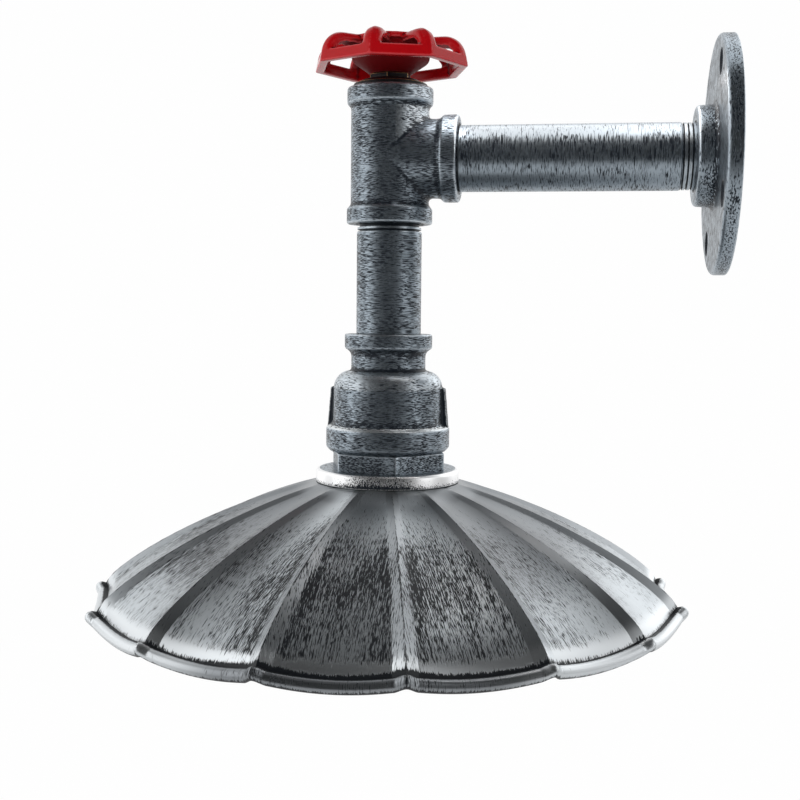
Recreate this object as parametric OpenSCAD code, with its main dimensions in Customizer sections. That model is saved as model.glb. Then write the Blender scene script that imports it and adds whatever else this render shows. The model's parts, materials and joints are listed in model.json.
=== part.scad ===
// Pipe wall light with a scalloped shade and a handwheel switch.
// The origin is the centre of the flange's back, the wall lies at X = 0 and the arm runs towards -X.

/* [Pipe] */
// Outside diameter of the arm and drop pipes
pipe_od = 26.9; // [25.5:0.1:28.5]
// Wall of the pipes
pipe_wall = 2.6; // [2.2:0.1:3]
// Depth of the thread crests below the pipe's skin
crest_drop = 0.22; // [0.15:0.01:0.4]
// Pitch of the pipe thread
thread_pitch = 1.8; // [1.5:0.1:2]
// Depth of the thread grooves
thread_depth = 0.9; // [0.5:0.1:1.1]
// Thread turns left showing beside the flange
open_turns = 3; // [2:1:4]
// Depth of a screwed pipe socket
socket_depth = 12.5; // [11:0.5:13.5]

/* [Wall flange] */
// Distance from the wall to the lamp's upright axis
reach = 136; // [120:1:240]
// Diameter of the flange
flange_d = 94; // [92:1:120]
// Thickness of the flange's plate
flange_t = 6; // [5:0.5:8]
// Rounding of the plate's front edge
flange_round = 1.6; // [0.8:0.2:2.4]
// Diameter of the flange's hub
hub_d = 39.5; // [38:0.5:46]
// Length of the hub, measured from the wall
hub_len = 13.5; // [13:0.5:20]
// Diameter of the wall screw holes
hole_d = 8; // [6:0.5:9]
// Diameter of the circle of wall screw holes
hole_pcd = 76; // [66:1:80]
// Number of wall screw holes
hole_count = 4; // [3:1:6]
// Turn of the first hole from upright towards -Y, in degrees
hole_turn = 28; // [0:1:45]

/* [Tee] */
// Length of the upright run above the branch's axis
tee_rise = 28.5; // [27:0.5:36]
// Length of the upright run below the branch's axis
tee_drop = 26.6; // [26:0.2:36]
// Length of the branch from the upright axis
branch_len = 28.8; // [28:0.2:38]
// Diameter of the tee's body
tee_d = 32.2; // [30:0.2:33]
// Diameter of the tee's collars
collar_d = 35.4; // [34:0.2:39]
// Length of the tee's collars
collar_len = 6.4; // [5:0.2:10]
// Rounding of the fitting edges
collar_round = 1.2; // [0.6:0.1:1.6]

/* [Drop and reducer] */
// Length of drop pipe that shows
drop_len = 45.3; // [34:0.1:120]
// Height of the reducer
reducer_h = 48.8; // [46:0.2:56]
// Diameter of the reducer's upper band
reducer_band_d = 36.5; // [35:0.5:40]
// Height of the reducer's upper band
reducer_band_h = 6; // [5:0.5:8]
// Diameter of the reducer's neck
neck_d = 31; // [30.5:0.1:33]
// Height from the reducer's top down to the shoulder
neck_h = 15.5; // [15:0.5:18]
// Diameter of the reducer's bell
bell_d = 46; // [45:0.5:50]
// Height of the bell's rounded shoulder
shoulder_h = 9.5; // [8:0.5:11]
// Diameter of the reducer's lower band
mouth_d = 51.6; // [51:0.2:58]
// Height of the reducer's lower band
mouth_h = 10; // [8:0.5:12]
// Thickness of the bell's wall
bell_wall = 2; // [1.6:0.1:2.4]
// Width of each grip rib on the bell
grip_w = 4.4; // [3:0.2:7]

/* [Hex plug] */
// Width across the flats of the hex plug
plug_flats = 43.8; // [40:0.2:46]
// Height of the hexagon
plug_h = 7.3; // [7:0.1:12]
// Thickness of the plug's floor
plug_floor = 6; // [5:0.2:7]
// Height of the plug's screwed spigot
spigot_h = 12; // [9:0.5:14]
// Wall of the plug's spigot
spigot_wall = 4; // [3:0.2:5]

/* [Shade] */
// Diameter over the rolled rim
shade_d = 250; // [220:1:320]
// Drop from the crown's foot to the groove above the rolled rim
shade_drop = 45.1; // [38:0.5:70]
// Number of petals
petals = 15; // [12:1:18]
// Thickness of the sheet
sheet_t = 0.8; // [0.6:0.1:1.2]
// Slope of the dome at the crown, in degrees
crown_slope = 13; // [8:1:20]
// Slope of the dome at the rim, in degrees
rim_slope = 48.6; // [40:0.2:58]
// Reach of the gentle slope near the crown
crown_run = 30.8; // [24:0.2:40]
// Reach of the steep slope near the rim
rim_run = 22.5; // [16:0.5:30]
// Width of a rib at the crown
rib_w_crown = 4.6; // [3:0.2:6]
// Width of a rib at the rim
rib_w_rim = 9; // [6:0.5:12]
// Height of a rib at the crown
rib_h_crown = 0.9; // [0.5:0.1:1.2]
// Height of a rib at the rim
rib_h_rim = 2.9; // [1.5:0.1:3.6]
// Diameter of the rolled rim
bead_d = 5.6; // [4.4:0.2:6.4]
// Diameter of the crown cap
crown_d = 60; // [54:0.5:68]
// Height of the crown cap
crown_h = 5.4; // [4.6:0.1:7]
// Thickness of the crown cap
crown_t = 1.2; // [0.8:0.1:1.6]
// Direction of the first rib, from -Y towards +X, in degrees
rib_turn = 12.1; // [0:0.1:24]

/* [Lampholder] */
// Diameter of the hollow nipple
nipple_d = 10; // [9:0.5:11]
// Bore of the hollow nipple
nipple_bore = 7.2; // [6.8:0.1:7.6]
// Thickness of the washer under the shade
washer_t = 1.5; // [1:0.1:2]
// Diameter of the washer under the shade
washer_d = 36; // [32:0.5:40]
// Outside diameter of the holder's cap
holder_d = 39; // [38.2:0.2:44]
// Wall of the holder's cap
holder_wall = 1.2; // [1:0.1:1.4]
// Height of the holder's cap
holder_cap_h = 18.4; // [18:0.2:22]
// Height of the whole holder
holder_h = 44.4; // [43:0.2:47]
// Bore of the screwed shell at its thread crests
lamp_d = 24.6; // [24.4:0.1:24.8]
// Depth of the shell's thread
lamp_thread = 1; // [0.8:0.1:1.1]
// Thickness of the shell outside its thread
shell_wall = 0.5; // [0.4:0.1:0.7]
// Pitch of the lamp's thread
lamp_pitch = 3.6; // [3.4:0.1:3.8]
// Thickness of the ceramic core
core_t = 7; // [6:0.5:8]
// Travel of the sprung centre contact
contact_travel = 1.2; // [0.6:0.1:1.6]

/* [Handwheel switch] */
// Diameter of the handwheel over its corners
wheel_d = 65; // [61:0.5:74]
// Height of the handwheel's rim
wheel_rim_h = 4.6; // [4:0.2:6]
// Width of the handwheel's rim
wheel_rim_w = 3.6; // [3:0.2:4.6]
// Height of the rim's underside above the tee
wheel_lift = 7.8; // [7:0.2:10]
// Height of the knuckles above the rim's underside
knuckle_h = 12.6; // [12:0.2:14]
// Number of spokes
spokes = 8; // [5:1:9]
// Width of a spoke
spoke_w = 7; // [5:0.5:8]
// Turn of the first spoke from -Y towards +X, in degrees
wheel_turn = -6; // [-22:1:22]
// Diameter of the wheel's hub
wheel_hub_d = 14; // [13:0.5:18]
// Diameter of the bonnet's flange
bonnet_d = 30.4; // [29:0.2:33]
// Diameter of the stem where it runs in the bonnet
stem_d = 9; // [8:0.5:10]
// Outside diameter of the switch body
switch_d = 22; // [21:0.5:23]
// Height of the switch body
switch_h = 13; // [12:0.5:14]

/* [Leads] */
// Diameter of the insulated leads
lead_d = 1.8; // [1.6:0.1:2]
// Radius of the leads' bends in the tee
lead_bend = 9; // [7:0.5:9.5]
// Length of the supply block
block_len = 20; // [16:1:26]
// Distance from the wall to the supply block
block_set_back = 15; // [12:1:20]

/* [Hidden] */
$fn = 64;

// Clearances
thread_fit = 0.05;
run_fit = 0.06;
slip_fit = 0.15;
free_gap = 0.3;
cut = 1;

// Pipes and sockets
pipe_r = pipe_od / 2;
pipe_bore_r = pipe_r - pipe_wall;
crest_r = pipe_r - crest_drop;
socket_r = crest_r + thread_fit;
passage_r = pipe_bore_r + 1.15;
end_gap = 0.5;
lamp_x = -reach;
flange_rear = 3;
arm_from = -flange_rear - end_gap;
arm_to = lamp_x + branch_len - socket_depth + end_gap;
drop_top = -tee_drop + socket_depth - end_gap;

// Levels from the tee's lower end downwards
tee_low = -tee_drop;
reducer_top = tee_low - drop_len;
reducer_low = reducer_top - reducer_h;
plug_low = reducer_low - plug_h;
hat_top = plug_low - crown_t;
washer_top = hat_top - sheet_t;
holder_top = washer_top - washer_t;
holder_low = holder_top - holder_h;
floor_top = plug_low + plug_floor;
drop_low = reducer_top - socket_depth + end_gap;

// Reducer
mouth_r = mouth_d / 2;
bell_r = bell_d / 2;
spigot_r = bell_r - bell_wall - thread_fit;
chamber_top = reducer_top - neck_h - shoulder_h;
grip_r = mouth_r - 0.9;
mouth_bevel = 1.6;

// Hex plug
plug_circle_d = plug_flats / cos(30);
plug_turn = 16;

// Nipple and its lock nut
nipple_rise = 6.5;
lock_washer_t = 0.9;
lock_washer_r = nipple_d / 2 + 3;
lock_nut_h = 3.6;
lock_nut_flats = nipple_d + 4;

// Crown and dome
crown_r = crown_d / 2;
crown_foot = plug_low - crown_h - free_gap;
crown_round = 1.4;
hat_r = crown_r - crown_t - free_gap;
hat_margin = 8;
hat_hole_r = nipple_d / 2 + hat_margin;
bead_r = bead_d / 2;
bead_lead = 0.9 * bead_r;
bead_sink = 0.4;
groove_r = shade_d / 2 - bead_lead * cos(rim_slope) - bead_r + bead_sink * sin(rim_slope);
dome = [[crown_r, crown_foot],
    [crown_r + crown_run * cos(crown_slope), crown_foot - crown_run * sin(crown_slope)],
    [groove_r - rim_run * cos(rim_slope), crown_foot - shade_drop + rim_run * sin(rim_slope)],
    [groove_r, crown_foot - shade_drop]];
dome_steps = 12;
lining_steps = 7;
panel_steps = 3;
rib_fade = 0.1;
petal_half = 180 / petals;
column_count = petals * 2 * (panel_steps + 1);
bead_angles = [140, 95, 50, 5, -40, -85, -130, -165];

// Lampholder
holder_r = holder_d / 2;
boss_r = nipple_d / 2 + 2.6;
boss_h = 5.4;
cap_low = holder_top - holder_cap_h;
cap_round = 5.5;
skirt_r = holder_r - holder_wall - thread_fit;
shell_r = lamp_d / 2 + lamp_thread + shell_wall;
shell_clear = 0.5;
skirt_bore_r = shell_r + shell_clear;
lip_h = 1.6;
lip_r = lamp_d / 2 + lamp_thread;
shell_low = holder_low + lip_h;
core_set = 16;
core_low = holder_top - boss_h - core_set;
core_top = core_low + core_t;
skirt_lap = 1;
skirt_top = core_top + skirt_lap;
contact_r = 4;
contact_t = 1.6;
contact_stem_r = 1.5;
contact_spare = 1;
contact_gap = contact_travel + contact_spare;
contact_low = core_low - contact_gap - contact_t;
contact_clear = 0.6;
screwed_top = contact_low - contact_clear;
post_w = 5;
post_y = 8.6;
post_rise = 7.4;
post_top = core_top + post_rise;

// Switch and handwheel
tee_top = tee_rise;
bonnet_rim_h = 1.6;
bonnet_step = 0.5;
bonnet_taper = 4;
bonnet_top = tee_top + 3.4;
spigot_low = tee_top - socket_depth;
gland_flats = 15.6;
gland_h = 2.2;
gland_top = bonnet_top + gland_h;
stem_r = stem_d / 2;
wheel_r = wheel_d / 2;
hub_low = gland_top + free_gap;
rim_low = tee_top + wheel_lift;
hub_seat_r = stem_r - 1;
bolt_r = 3;
nut_flats = 10;
nut_h = 3.2;
bolt_end = 0.6;
wheel_washer_t = 0.9;
washer_inset = 0.8;
rim_draft = 0.9;
rim_bore_r = wheel_r - wheel_rim_w / cos(180 / spokes);
strap_t = 2.6;
strap_lap = 2;
strap_inset = 1.5;
arch_foot = 3.3;
arch_sink = 1;
arch_r = knuckle_h - arch_foot;
arch_x = wheel_r - strap_inset - arch_r;
arch_z = rim_low + arch_foot;
plate_r = wheel_r / 2;
plate_t = 2.2;
plate_lip = 2.6;
plate_drop = 0.4;
plate_top = rim_low + knuckle_h - plate_drop;
plate_recess = 3.5;
recess_r = wheel_hub_d / 2 + 1.5;
hub_foot = 1.5;
hub_top = plate_top - plate_recess;
switch_r = switch_d / 2;
switch_top = spigot_low;
switch_low = switch_top - switch_h;
switch_wall = 1.4;
switch_roof = 1.6;
cover_t = 1.8;
rotor_r = switch_r - switch_wall - 0.5;
rotor_top = switch_top - switch_roof - 0.4;
rotor_h = 7.4;
rotor_low = rotor_top - rotor_h;
bridge_t = 0.9;
bridge_w = 3.4;
bridge_len = 2 * rotor_r - 1.4;
wipe_gap = 0.2;
pad_w = 3;
pad_y = 3.4;
pad_top = rotor_low - bridge_t - wipe_gap;
terminal_w = 4.2;
terminal_h = 4;
terminal_low = switch_low - cover_t - terminal_h;
tail_r = 3;

// Leads
lead_r = lead_d / 2;
core_y = 2.2;
holder_bend = 2.4;
block_face = -block_set_back - block_len;
block_half = 7;
block_top = 3;
block_low = -8;
block_pitch = 4.4;
block_screw_h = 1.4;
block_screw_r = 1.7;
live_z = terminal_low + 1.6;
neutral_z = block_low + 2;
earth_z = neutral_z + 0.5;
earth_x = pipe_bore_r - lead_r - 0.9;
earth_y = 2;
entry_z = holder_top - boss_h - free_gap;
lug_t = 1;
lug_r = 3;
lug_x = earth_x + 4.2;
screw_r = 1.9;
screw_head_r = 2.7;
screw_head_h = 2;
screw_depth = 4;

// A ring about an upright axis
module ring(low, high, outer, inner) {
    translate([0, 0, low])
    difference() {
        cylinder(h = high - low, r = outer);
        translate([0, 0, -cut])
        cylinder(h = high - low + 2 * cut, r = inner);
    }
}

// A hexagonal nut about an upright axis
module hex_nut(low, high, flats, bore) {
    translate([0, 0, low])
    difference() {
        cylinder(h = high - low, d = flats / cos(30), $fn = 6);
        translate([0, 0, -cut])
        cylinder(h = high - low + 2 * cut, r = bore);
    }
}

// Moves a piece drawn about Z onto the lamp's upright axis
module on_lamp() {
    translate([lamp_x, 0, 0])
    children();
}

// Moves a piece drawn along Z onto the arm, with Z pointing away from the wall
module on_arm() {
    rotate([0, -90, 0])
    children();
}

// A pipe with thread crests at both ends; the grooves lie beside its first end
module pipe(length, crest_a, crest_b, groove_at, groove_count) {
    difference() {
        union() {
            cylinder(h = length, r = crest_r);
            translate([0, 0, crest_a])
            cylinder(h = length - crest_a - crest_b, r = pipe_r);
        }
        translate([0, 0, -cut])
        cylinder(h = length + 2 * cut, r = pipe_bore_r);
        for (turn = [0:1:groove_count - 1])
            translate([0, 0, groove_at + turn * thread_pitch])
            rotate_extrude()
            polygon([[crest_r + thread_pitch / 2, -thread_pitch / 2],
                [crest_r - thread_depth, 0],
                [crest_r + thread_pitch / 2, thread_pitch / 2]]);
    }
}

// Outline of a fitting's end: a collar with rounded edges from height low to high
module collar(low, high, radius) {
    translate([0, 0, low])
    rotate_extrude() {
        square([radius - collar_round, high - low]);
        translate([0, collar_round])
        square([radius, high - low - 2 * collar_round]);
        for (z = [collar_round, high - low - collar_round])
            translate([radius - collar_round, z])
            circle(r = collar_round);
    }
}

module wall_flange() {
    color("slategray")
    on_arm()
    difference() {
        union() {
            cylinder(h = flange_t - flange_round, d = flange_d);
            cylinder(h = flange_t, d = flange_d - 2 * flange_round);
            translate([0, 0, flange_t - flange_round])
            rotate_extrude()
            translate([flange_d / 2 - flange_round, 0])
            circle(r = flange_round);
            cylinder(h = hub_len - collar_round, d = hub_d);
            cylinder(h = hub_len, d = hub_d - 2 * collar_round);
            translate([0, 0, hub_len - collar_round])
            rotate_extrude()
            translate([hub_d / 2 - collar_round, 0])
            circle(r = collar_round);
        }
        translate([0, 0, flange_rear])
        cylinder(h = hub_len, r = socket_r);
        translate([0, 0, -cut])
        cylinder(h = hub_len, r = pipe_bore_r);
        for (i = [0:1:hole_count - 1])
            rotate([0, 0, i * 360 / hole_count - hole_turn])
            translate([hole_pcd / 2, 0, -cut])
            cylinder(h = flange_t + 2 * cut, d = hole_d);
    }
}

module arm_pipe() {
    open_len = open_turns * thread_pitch;
    color("slategray")
    on_arm()
    translate([0, 0, -arm_from])
    pipe(arm_from - arm_to, hub_len + arm_from + open_len, socket_depth,
        hub_len + arm_from + thread_pitch / 2, open_turns);
}

module tee() {
    color("slategray")
    on_lamp()
    difference() {
        union() {
            translate([0, 0, tee_low + collar_round])
            cylinder(h = tee_top - tee_low - 2 * collar_round, d = tee_d);
            collar(tee_low, tee_low + collar_len, collar_d / 2);
            collar(tee_top - collar_len, tee_top, collar_d / 2);
            rotate([0, 90, 0]) {
                cylinder(h = branch_len - collar_round, d = tee_d);
                collar(branch_len - collar_len, branch_len, collar_d / 2);
            }
        }
        translate([0, 0, tee_low - cut])
        cylinder(h = tee_top - tee_low + 2 * cut, r = passage_r);
        translate([0, 0, tee_low - cut])
        cylinder(h = socket_depth + cut, r = socket_r);
        translate([0, 0, tee_top - socket_depth])
        cylinder(h = socket_depth + cut, r = socket_r);
        rotate([0, 90, 0])
        cylinder(h = branch_len + cut, r = passage_r);
        rotate([0, 90, 0])
        translate([0, 0, branch_len - socket_depth])
        cylinder(h = socket_depth + cut, r = socket_r);
    }
}

module drop_pipe() {
    color("slategray")
    on_lamp()
    translate([0, 0, drop_low])
    pipe(drop_top - drop_low, socket_depth, socket_depth, socket_depth, 0);
}

module reducer() {
    color("slategray")
    on_lamp()
    difference() {
        union() {
            collar(reducer_top - reducer_band_h, reducer_top, reducer_band_d / 2);
            translate([0, 0, reducer_top - neck_h - shoulder_h])
            cylinder(h = neck_h + shoulder_h - collar_round, d = neck_d);
            translate([0, 0, chamber_top])
            rotate_extrude()
            intersection() {
                translate([bell_r - shoulder_h, 0])
                circle(r = shoulder_h);
                square([bell_r, shoulder_h]);
            }
            translate([0, 0, chamber_top])
            cylinder(h = shoulder_h, r = bell_r - shoulder_h);
            translate([0, 0, reducer_low + mouth_bevel])
            cylinder(h = chamber_top - reducer_low - mouth_bevel, r = bell_r);
            translate([0, 0, reducer_low + mouth_bevel])
            cylinder(h = mouth_h - mouth_bevel, r = mouth_r);
            translate([0, 0, reducer_low])
            cylinder(h = mouth_bevel, r1 = mouth_r - mouth_bevel, r2 = mouth_r);
            translate([-grip_r, -grip_w / 2, reducer_low + mouth_bevel])
            cube([2 * grip_r, grip_w, chamber_top + shoulder_h / 3 - reducer_low - mouth_bevel]);
        }
        translate([0, 0, reducer_top - socket_depth])
        cylinder(h = socket_depth + cut, r = socket_r);
        translate([0, 0, reducer_low])
        cylinder(h = reducer_h, r = passage_r);
        translate([0, 0, reducer_low - cut])
        cylinder(h = chamber_top - reducer_low + cut, r = spigot_r + thread_fit);
    }
}

module hex_plug() {
    color("slategray")
    on_lamp()
    difference() {
        union() {
            rotate([0, 0, plug_turn - 90])
            translate([0, 0, plug_low])
            cylinder(h = plug_h, d = plug_circle_d, $fn = 6);
            translate([0, 0, reducer_low - plug_h / 2])
            cylinder(h = plug_h / 2 + spigot_h, r = spigot_r);
        }
        translate([0, 0, floor_top])
        cylinder(h = plug_h + spigot_h, r = spigot_r - spigot_wall);
        translate([0, 0, plug_low - cut])
        cylinder(h = plug_floor + 2 * cut, r = nipple_d / 2 + slip_fit);
        translate([lug_x, earth_y, floor_top - screw_depth - end_gap])
        cylinder(h = screw_depth + end_gap + cut, r = screw_r + thread_fit);
    }
}

module crown_cap() {
    color("silver")
    on_lamp()
    difference() {
        union() {
            translate([0, 0, plug_low - crown_h])
            cylinder(h = crown_h - crown_round, r = crown_r);
            translate([0, 0, plug_low - crown_h])
            cylinder(h = crown_h, r = crown_r - crown_round);
            translate([0, 0, plug_low - crown_round])
            rotate_extrude()
            translate([crown_r - crown_round, 0])
            circle(r = crown_round);
        }
        translate([0, 0, plug_low - crown_h - cut])
        cylinder(h = crown_h - crown_t + cut, r = crown_r - crown_t);
        translate([0, 0, plug_low - crown_h])
        cylinder(h = crown_h + cut, r = nipple_d / 2 + slip_fit);
    }
}

// A point of the dome's curve, as radius and height, at t from crown (0) to rim (1)
function dome_at(t) = pow(1 - t, 3) * dome[0] + 3 * pow(1 - t, 2) * t * dome[1]
    + 3 * (1 - t) * t * t * dome[2] + pow(t, 3) * dome[3];
// Direction of the dome's curve at t
function dome_along(t) = let (d = pow(1 - t, 2) * (dome[1] - dome[0])
    + 2 * (1 - t) * t * (dome[2] - dome[1]) + t * t * (dome[3] - dome[2])) d / norm(d);
// Direction out of the dome's face at t
function dome_out(t) = let (d = dome_along(t)) [-d[1], d[0]];
// Value at t between two ends
function blend(a, b, t) = a + (b - a) * t;
// Place of a column within its half petal: 0 on the rib, 1 at the rib's foot, then on to 2 mid panel
function column_place(j) = let (n = panel_steps + 1, k = j % (2 * n), m = k <= n ? k : 2 * n - k)
    m < 1 ? 0 : 1 + (m - 1) / panel_steps;
// Side of the rib on which a column lies, and the rib that it belongs to
function column_side(j) = (j % (2 * (panel_steps + 1))) <= panel_steps + 1 ? 1 : -1;
function column_rib(j) = floor(j / (2 * (panel_steps + 1))) + (column_side(j) > 0 ? 0 : 1);
// Angle of a column at t, measured from -Y towards +X
function column_angle(j, t) = let (p = column_place(j),
    foot = blend(rib_w_crown, rib_w_rim, t) / 2 / dome_at(t)[0] * 180 / PI,
    a = p <= 1 ? p * foot : blend(foot, petal_half, p - 1))
    rib_turn + column_rib(j) * 2 * petal_half + column_side(j) * a;
// Depth of the sheet below the rib's crest at a column and t
function column_sink(j, t) = let (p = column_place(j), v = max(0, p - 1),
    rib = min(1, p) * blend(rib_h_crown, rib_h_rim, t),
    sag = dome_at(t)[0] * (1 - cos(petal_half)) * v * (2 - v))
    min(1, t / rib_fade) * (rib + sag);
// A point in space from a radius, a height and a column's angle
function around(point, angle) = [point[0] * sin(angle), -point[0] * cos(angle), point[1]];
// A point of the sheet at a column and t, at a depth below its outer face
function sheet_point(j, t, depth) =
    around(dome_at(t) - (column_sink(j, t) + depth) * dome_out(t), column_angle(j, t));
// A point of the rolled rim at a column
function bead_point(j, angle) = let (t = dome_along(1), n = dome_out(1))
    around(dome_at(1) - (column_sink(j, 1) + bead_sink) * n + bead_lead * t
        + bead_r * (cos(angle) * t + sin(angle) * n), column_angle(j, 1));
// The closed outline of the shade at a column: hat, dome, rolled rim, lining and hat again
function shade_outline(j) = concat(
    [for (p = [[hat_hole_r, hat_top], [hat_r, hat_top], [hat_r, crown_foot]])
        around(p, column_angle(j, 0))],
    [for (i = [0:1:dome_steps]) sheet_point(j, i / dome_steps, 0)],
    [for (angle = bead_angles) bead_point(j, angle)],
    [for (i = [lining_steps:-1:0]) sheet_point(j, i / lining_steps, sheet_t)],
    [for (p = [[hat_r - sheet_t, crown_foot - sheet_t], [hat_r - sheet_t, hat_top - sheet_t],
        [hat_hole_r, hat_top - sheet_t]])
        around(p, column_angle(j, 0))]);

module shade() {
    columns = [for (j = [0:1:column_count - 1]) shade_outline(j)];
    rows = len(columns[0]);
    points = [for (column = columns) each column];
    faces = [for (j = [0:1:column_count - 1]) for (i = [0:1:rows - 1])
        let (a = j * rows + i, b = j * rows + (i + 1) % rows,
            c = ((j + 1) % column_count) * rows + (i + 1) % rows,
            d = ((j + 1) % column_count) * rows + i)
        each [[a, b, c], [a, c, d]]];
    color("darkgray")
    on_lamp()
    polyhedron(points = points, faces = faces, convexity = 6);
}

module clamp_washer() {
    color("silver")
    on_lamp()
    ring(holder_top, washer_top, washer_d / 2, nipple_d / 2 + slip_fit);
}

module nipple() {
    color("goldenrod")
    on_lamp()
    ring(holder_top - boss_h, floor_top + nipple_rise, nipple_d / 2, nipple_bore / 2);
}

module lock_washer() {
    color("silver")
    on_lamp()
    ring(floor_top, floor_top + lock_washer_t, lock_washer_r, nipple_d / 2 + slip_fit);
}

module lock_nut() {
    color("goldenrod")
    on_lamp()
    rotate([0, 0, 30])
    hex_nut(floor_top + lock_washer_t, floor_top + lock_washer_t + lock_nut_h, lock_nut_flats,
        nipple_d / 2 + thread_fit);
}

module holder_cap() {
    color("dimgray")
    on_lamp()
    difference() {
        union() {
            translate([0, 0, cap_low])
            cylinder(h = holder_cap_h - cap_round, r = holder_r);
            translate([0, 0, cap_low])
            cylinder(h = holder_cap_h, r = holder_r - cap_round);
            translate([0, 0, holder_top - cap_round])
            rotate_extrude()
            translate([holder_r - cap_round, 0])
            circle(r = cap_round);
        }
        difference() {
            union() {
                translate([0, 0, cap_low - cut])
                cylinder(h = holder_cap_h - cap_round + cut, r = holder_r - holder_wall);
                translate([0, 0, cap_low - cut])
                cylinder(h = holder_cap_h - holder_wall + cut, r = holder_r - cap_round);
                translate([0, 0, holder_top - cap_round])
                rotate_extrude()
                translate([holder_r - cap_round, 0])
                circle(r = cap_round - holder_wall);
            }
            translate([0, 0, holder_top - boss_h])
            cylinder(h = boss_h, r = boss_r);
        }
        translate([0, 0, holder_top - boss_h - cut])
        cylinder(h = boss_h + 2 * cut, r = nipple_d / 2 + thread_fit);
    }
}

module holder_skirt() {
    color("black")
    on_lamp()
    difference() {
        translate([0, 0, holder_low])
        cylinder(h = skirt_top - holder_low, r = skirt_r);
        translate([0, 0, shell_low])
        cylinder(h = holder_h, r = skirt_bore_r);
        translate([0, 0, holder_low - cut])
        cylinder(h = lip_h + 2 * cut, r = lip_r);
    }
}

module holder_core() {
    color("ivory")
    on_lamp()
    ring(core_low, core_top, skirt_bore_r - slip_fit, contact_stem_r + run_fit);
}

module socket_shell() {
    grooves = floor((screwed_top - shell_low) / lamp_pitch);
    color("goldenrod")
    on_lamp()
    difference() {
        ring(shell_low, core_low, shell_r, lamp_d / 2);
        translate([0, 0, screwed_top])
        cylinder(h = core_low - screwed_top + cut, r = lamp_d / 2 + lamp_thread);
        for (turn = [0:1:grooves - 1])
            translate([0, 0, shell_low + lamp_pitch * (turn + 0.5)])
            rotate_extrude()
            translate([lamp_d / 2, 0])
            circle(r = lamp_thread);
    }
}

module centre_contact() {
    color("peru")
    on_lamp() {
        translate([0, 0, contact_low])
        cylinder(h = contact_t, r = contact_r);
        translate([0, 0, contact_low + contact_t / 2])
        cylinder(h = contact_gap + contact_t / 2 + core_t - contact_travel, r = contact_stem_r);
    }
}

module holder_terminals() {
    color("goldenrod")
    on_lamp()
    for (side = [-1, 1])
        translate([-post_w / 2, side * post_y - post_w / 2, core_top])
        cube([post_w, post_w, post_top - core_top]);
}

module bonnet() {
    color("black")
    on_lamp()
    difference() {
        union() {
            translate([0, 0, spigot_low])
            cylinder(h = tee_top - spigot_low + bonnet_rim_h / 2, r = crest_r);
            translate([0, 0, tee_top])
            cylinder(h = bonnet_rim_h, d = bonnet_d);
            translate([0, 0, tee_top + bonnet_rim_h])
            cylinder(h = bonnet_top - tee_top - bonnet_rim_h, d1 = bonnet_d - 2 * bonnet_step,
                d2 = bonnet_d - 2 * bonnet_taper);
        }
        translate([0, 0, spigot_low - cut])
        cylinder(h = bonnet_top - spigot_low + 2 * cut, r = stem_r + run_fit);
    }
}

module gland_nut() {
    color("goldenrod")
    on_lamp()
    hex_nut(bonnet_top, gland_top, gland_flats, stem_r + run_fit);
}

module stem() {
    color("goldenrod")
    on_lamp()
    union() {
        translate([0, 0, rotor_low])
        cylinder(h = rotor_top - rotor_low, r = tail_r);
        translate([0, 0, rotor_top])
        cylinder(h = hub_low - rotor_top, r = stem_r);
        translate([0, 0, hub_low])
        cylinder(h = hub_top - hub_low, r = hub_seat_r);
        translate([0, 0, hub_top])
        cylinder(h = wheel_washer_t + nut_h + bolt_end, r = bolt_r);
    }
}

// Side view of one spoke: a flat run out of the plate and a round knuckle down into the rim
module spoke_outline() {
    translate([plate_r - strap_lap, arch_z + arch_r - strap_t])
    square([arch_x - plate_r + strap_lap, strap_t]);
    translate([arch_x, arch_z])
    intersection() {
        difference() {
            circle(r = arch_r);
            circle(r = arch_r - strap_t);
        }
        translate([0, -arch_sink])
        square(arch_r + arch_sink);
    }
}

module handwheel() {
    color("firebrick")
    on_lamp()
    difference() {
        union() {
            rotate([0, 0, wheel_turn - 90])
            translate([0, 0, rim_low])
            difference() {
                cylinder(h = wheel_rim_h, r1 = wheel_r, r2 = wheel_r - rim_draft, $fn = spokes);
                translate([0, 0, -cut])
                cylinder(h = wheel_rim_h + 2 * cut, r = rim_bore_r, $fn = spokes);
            }
            rotate_extrude()
            polygon([[0, hub_low], [wheel_hub_d / 2, hub_low], [wheel_hub_d / 2, hub_low + hub_foot],
                [plate_r - plate_lip, plate_top - plate_t], [plate_r, plate_top - plate_t],
                [plate_r, plate_top], [0, plate_top]]);
            for (i = [0:1:spokes - 1])
                rotate([0, 0, wheel_turn - 90 + i * 360 / spokes])
                rotate([90, 0, 0])
                translate([0, 0, -spoke_w / 2])
                linear_extrude(spoke_w)
                spoke_outline();
        }
        translate([0, 0, hub_low - cut])
        cylinder(h = hub_top - hub_low + 2 * cut, r = hub_seat_r + thread_fit);
        translate([0, 0, hub_top])
        cylinder(h = knuckle_h, r = recess_r);
    }
}

module wheel_washer() {
    color("silver")
    on_lamp()
    ring(hub_top, hub_top + wheel_washer_t, wheel_hub_d / 2 - washer_inset, bolt_r + slip_fit);
}

module wheel_nut() {
    color("silver")
    on_lamp()
    hex_nut(hub_top + wheel_washer_t, hub_top + wheel_washer_t + nut_h, nut_flats, bolt_r + thread_fit);
}

module switch_body() {
    color("black")
    on_lamp()
    difference() {
        translate([0, 0, switch_low])
        cylinder(h = switch_h, r = switch_r);
        translate([0, 0, switch_low - cut])
        cylinder(h = switch_h - switch_roof + cut, r = switch_r - switch_wall);
        translate([0, 0, switch_low])
        cylinder(h = switch_h + cut, r = stem_r + slip_fit);
    }
}

module switch_cover() {
    color("dimgray")
    on_lamp()
    translate([0, 0, switch_low - cover_t])
    cylinder(h = cover_t, r = switch_r);
}

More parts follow.
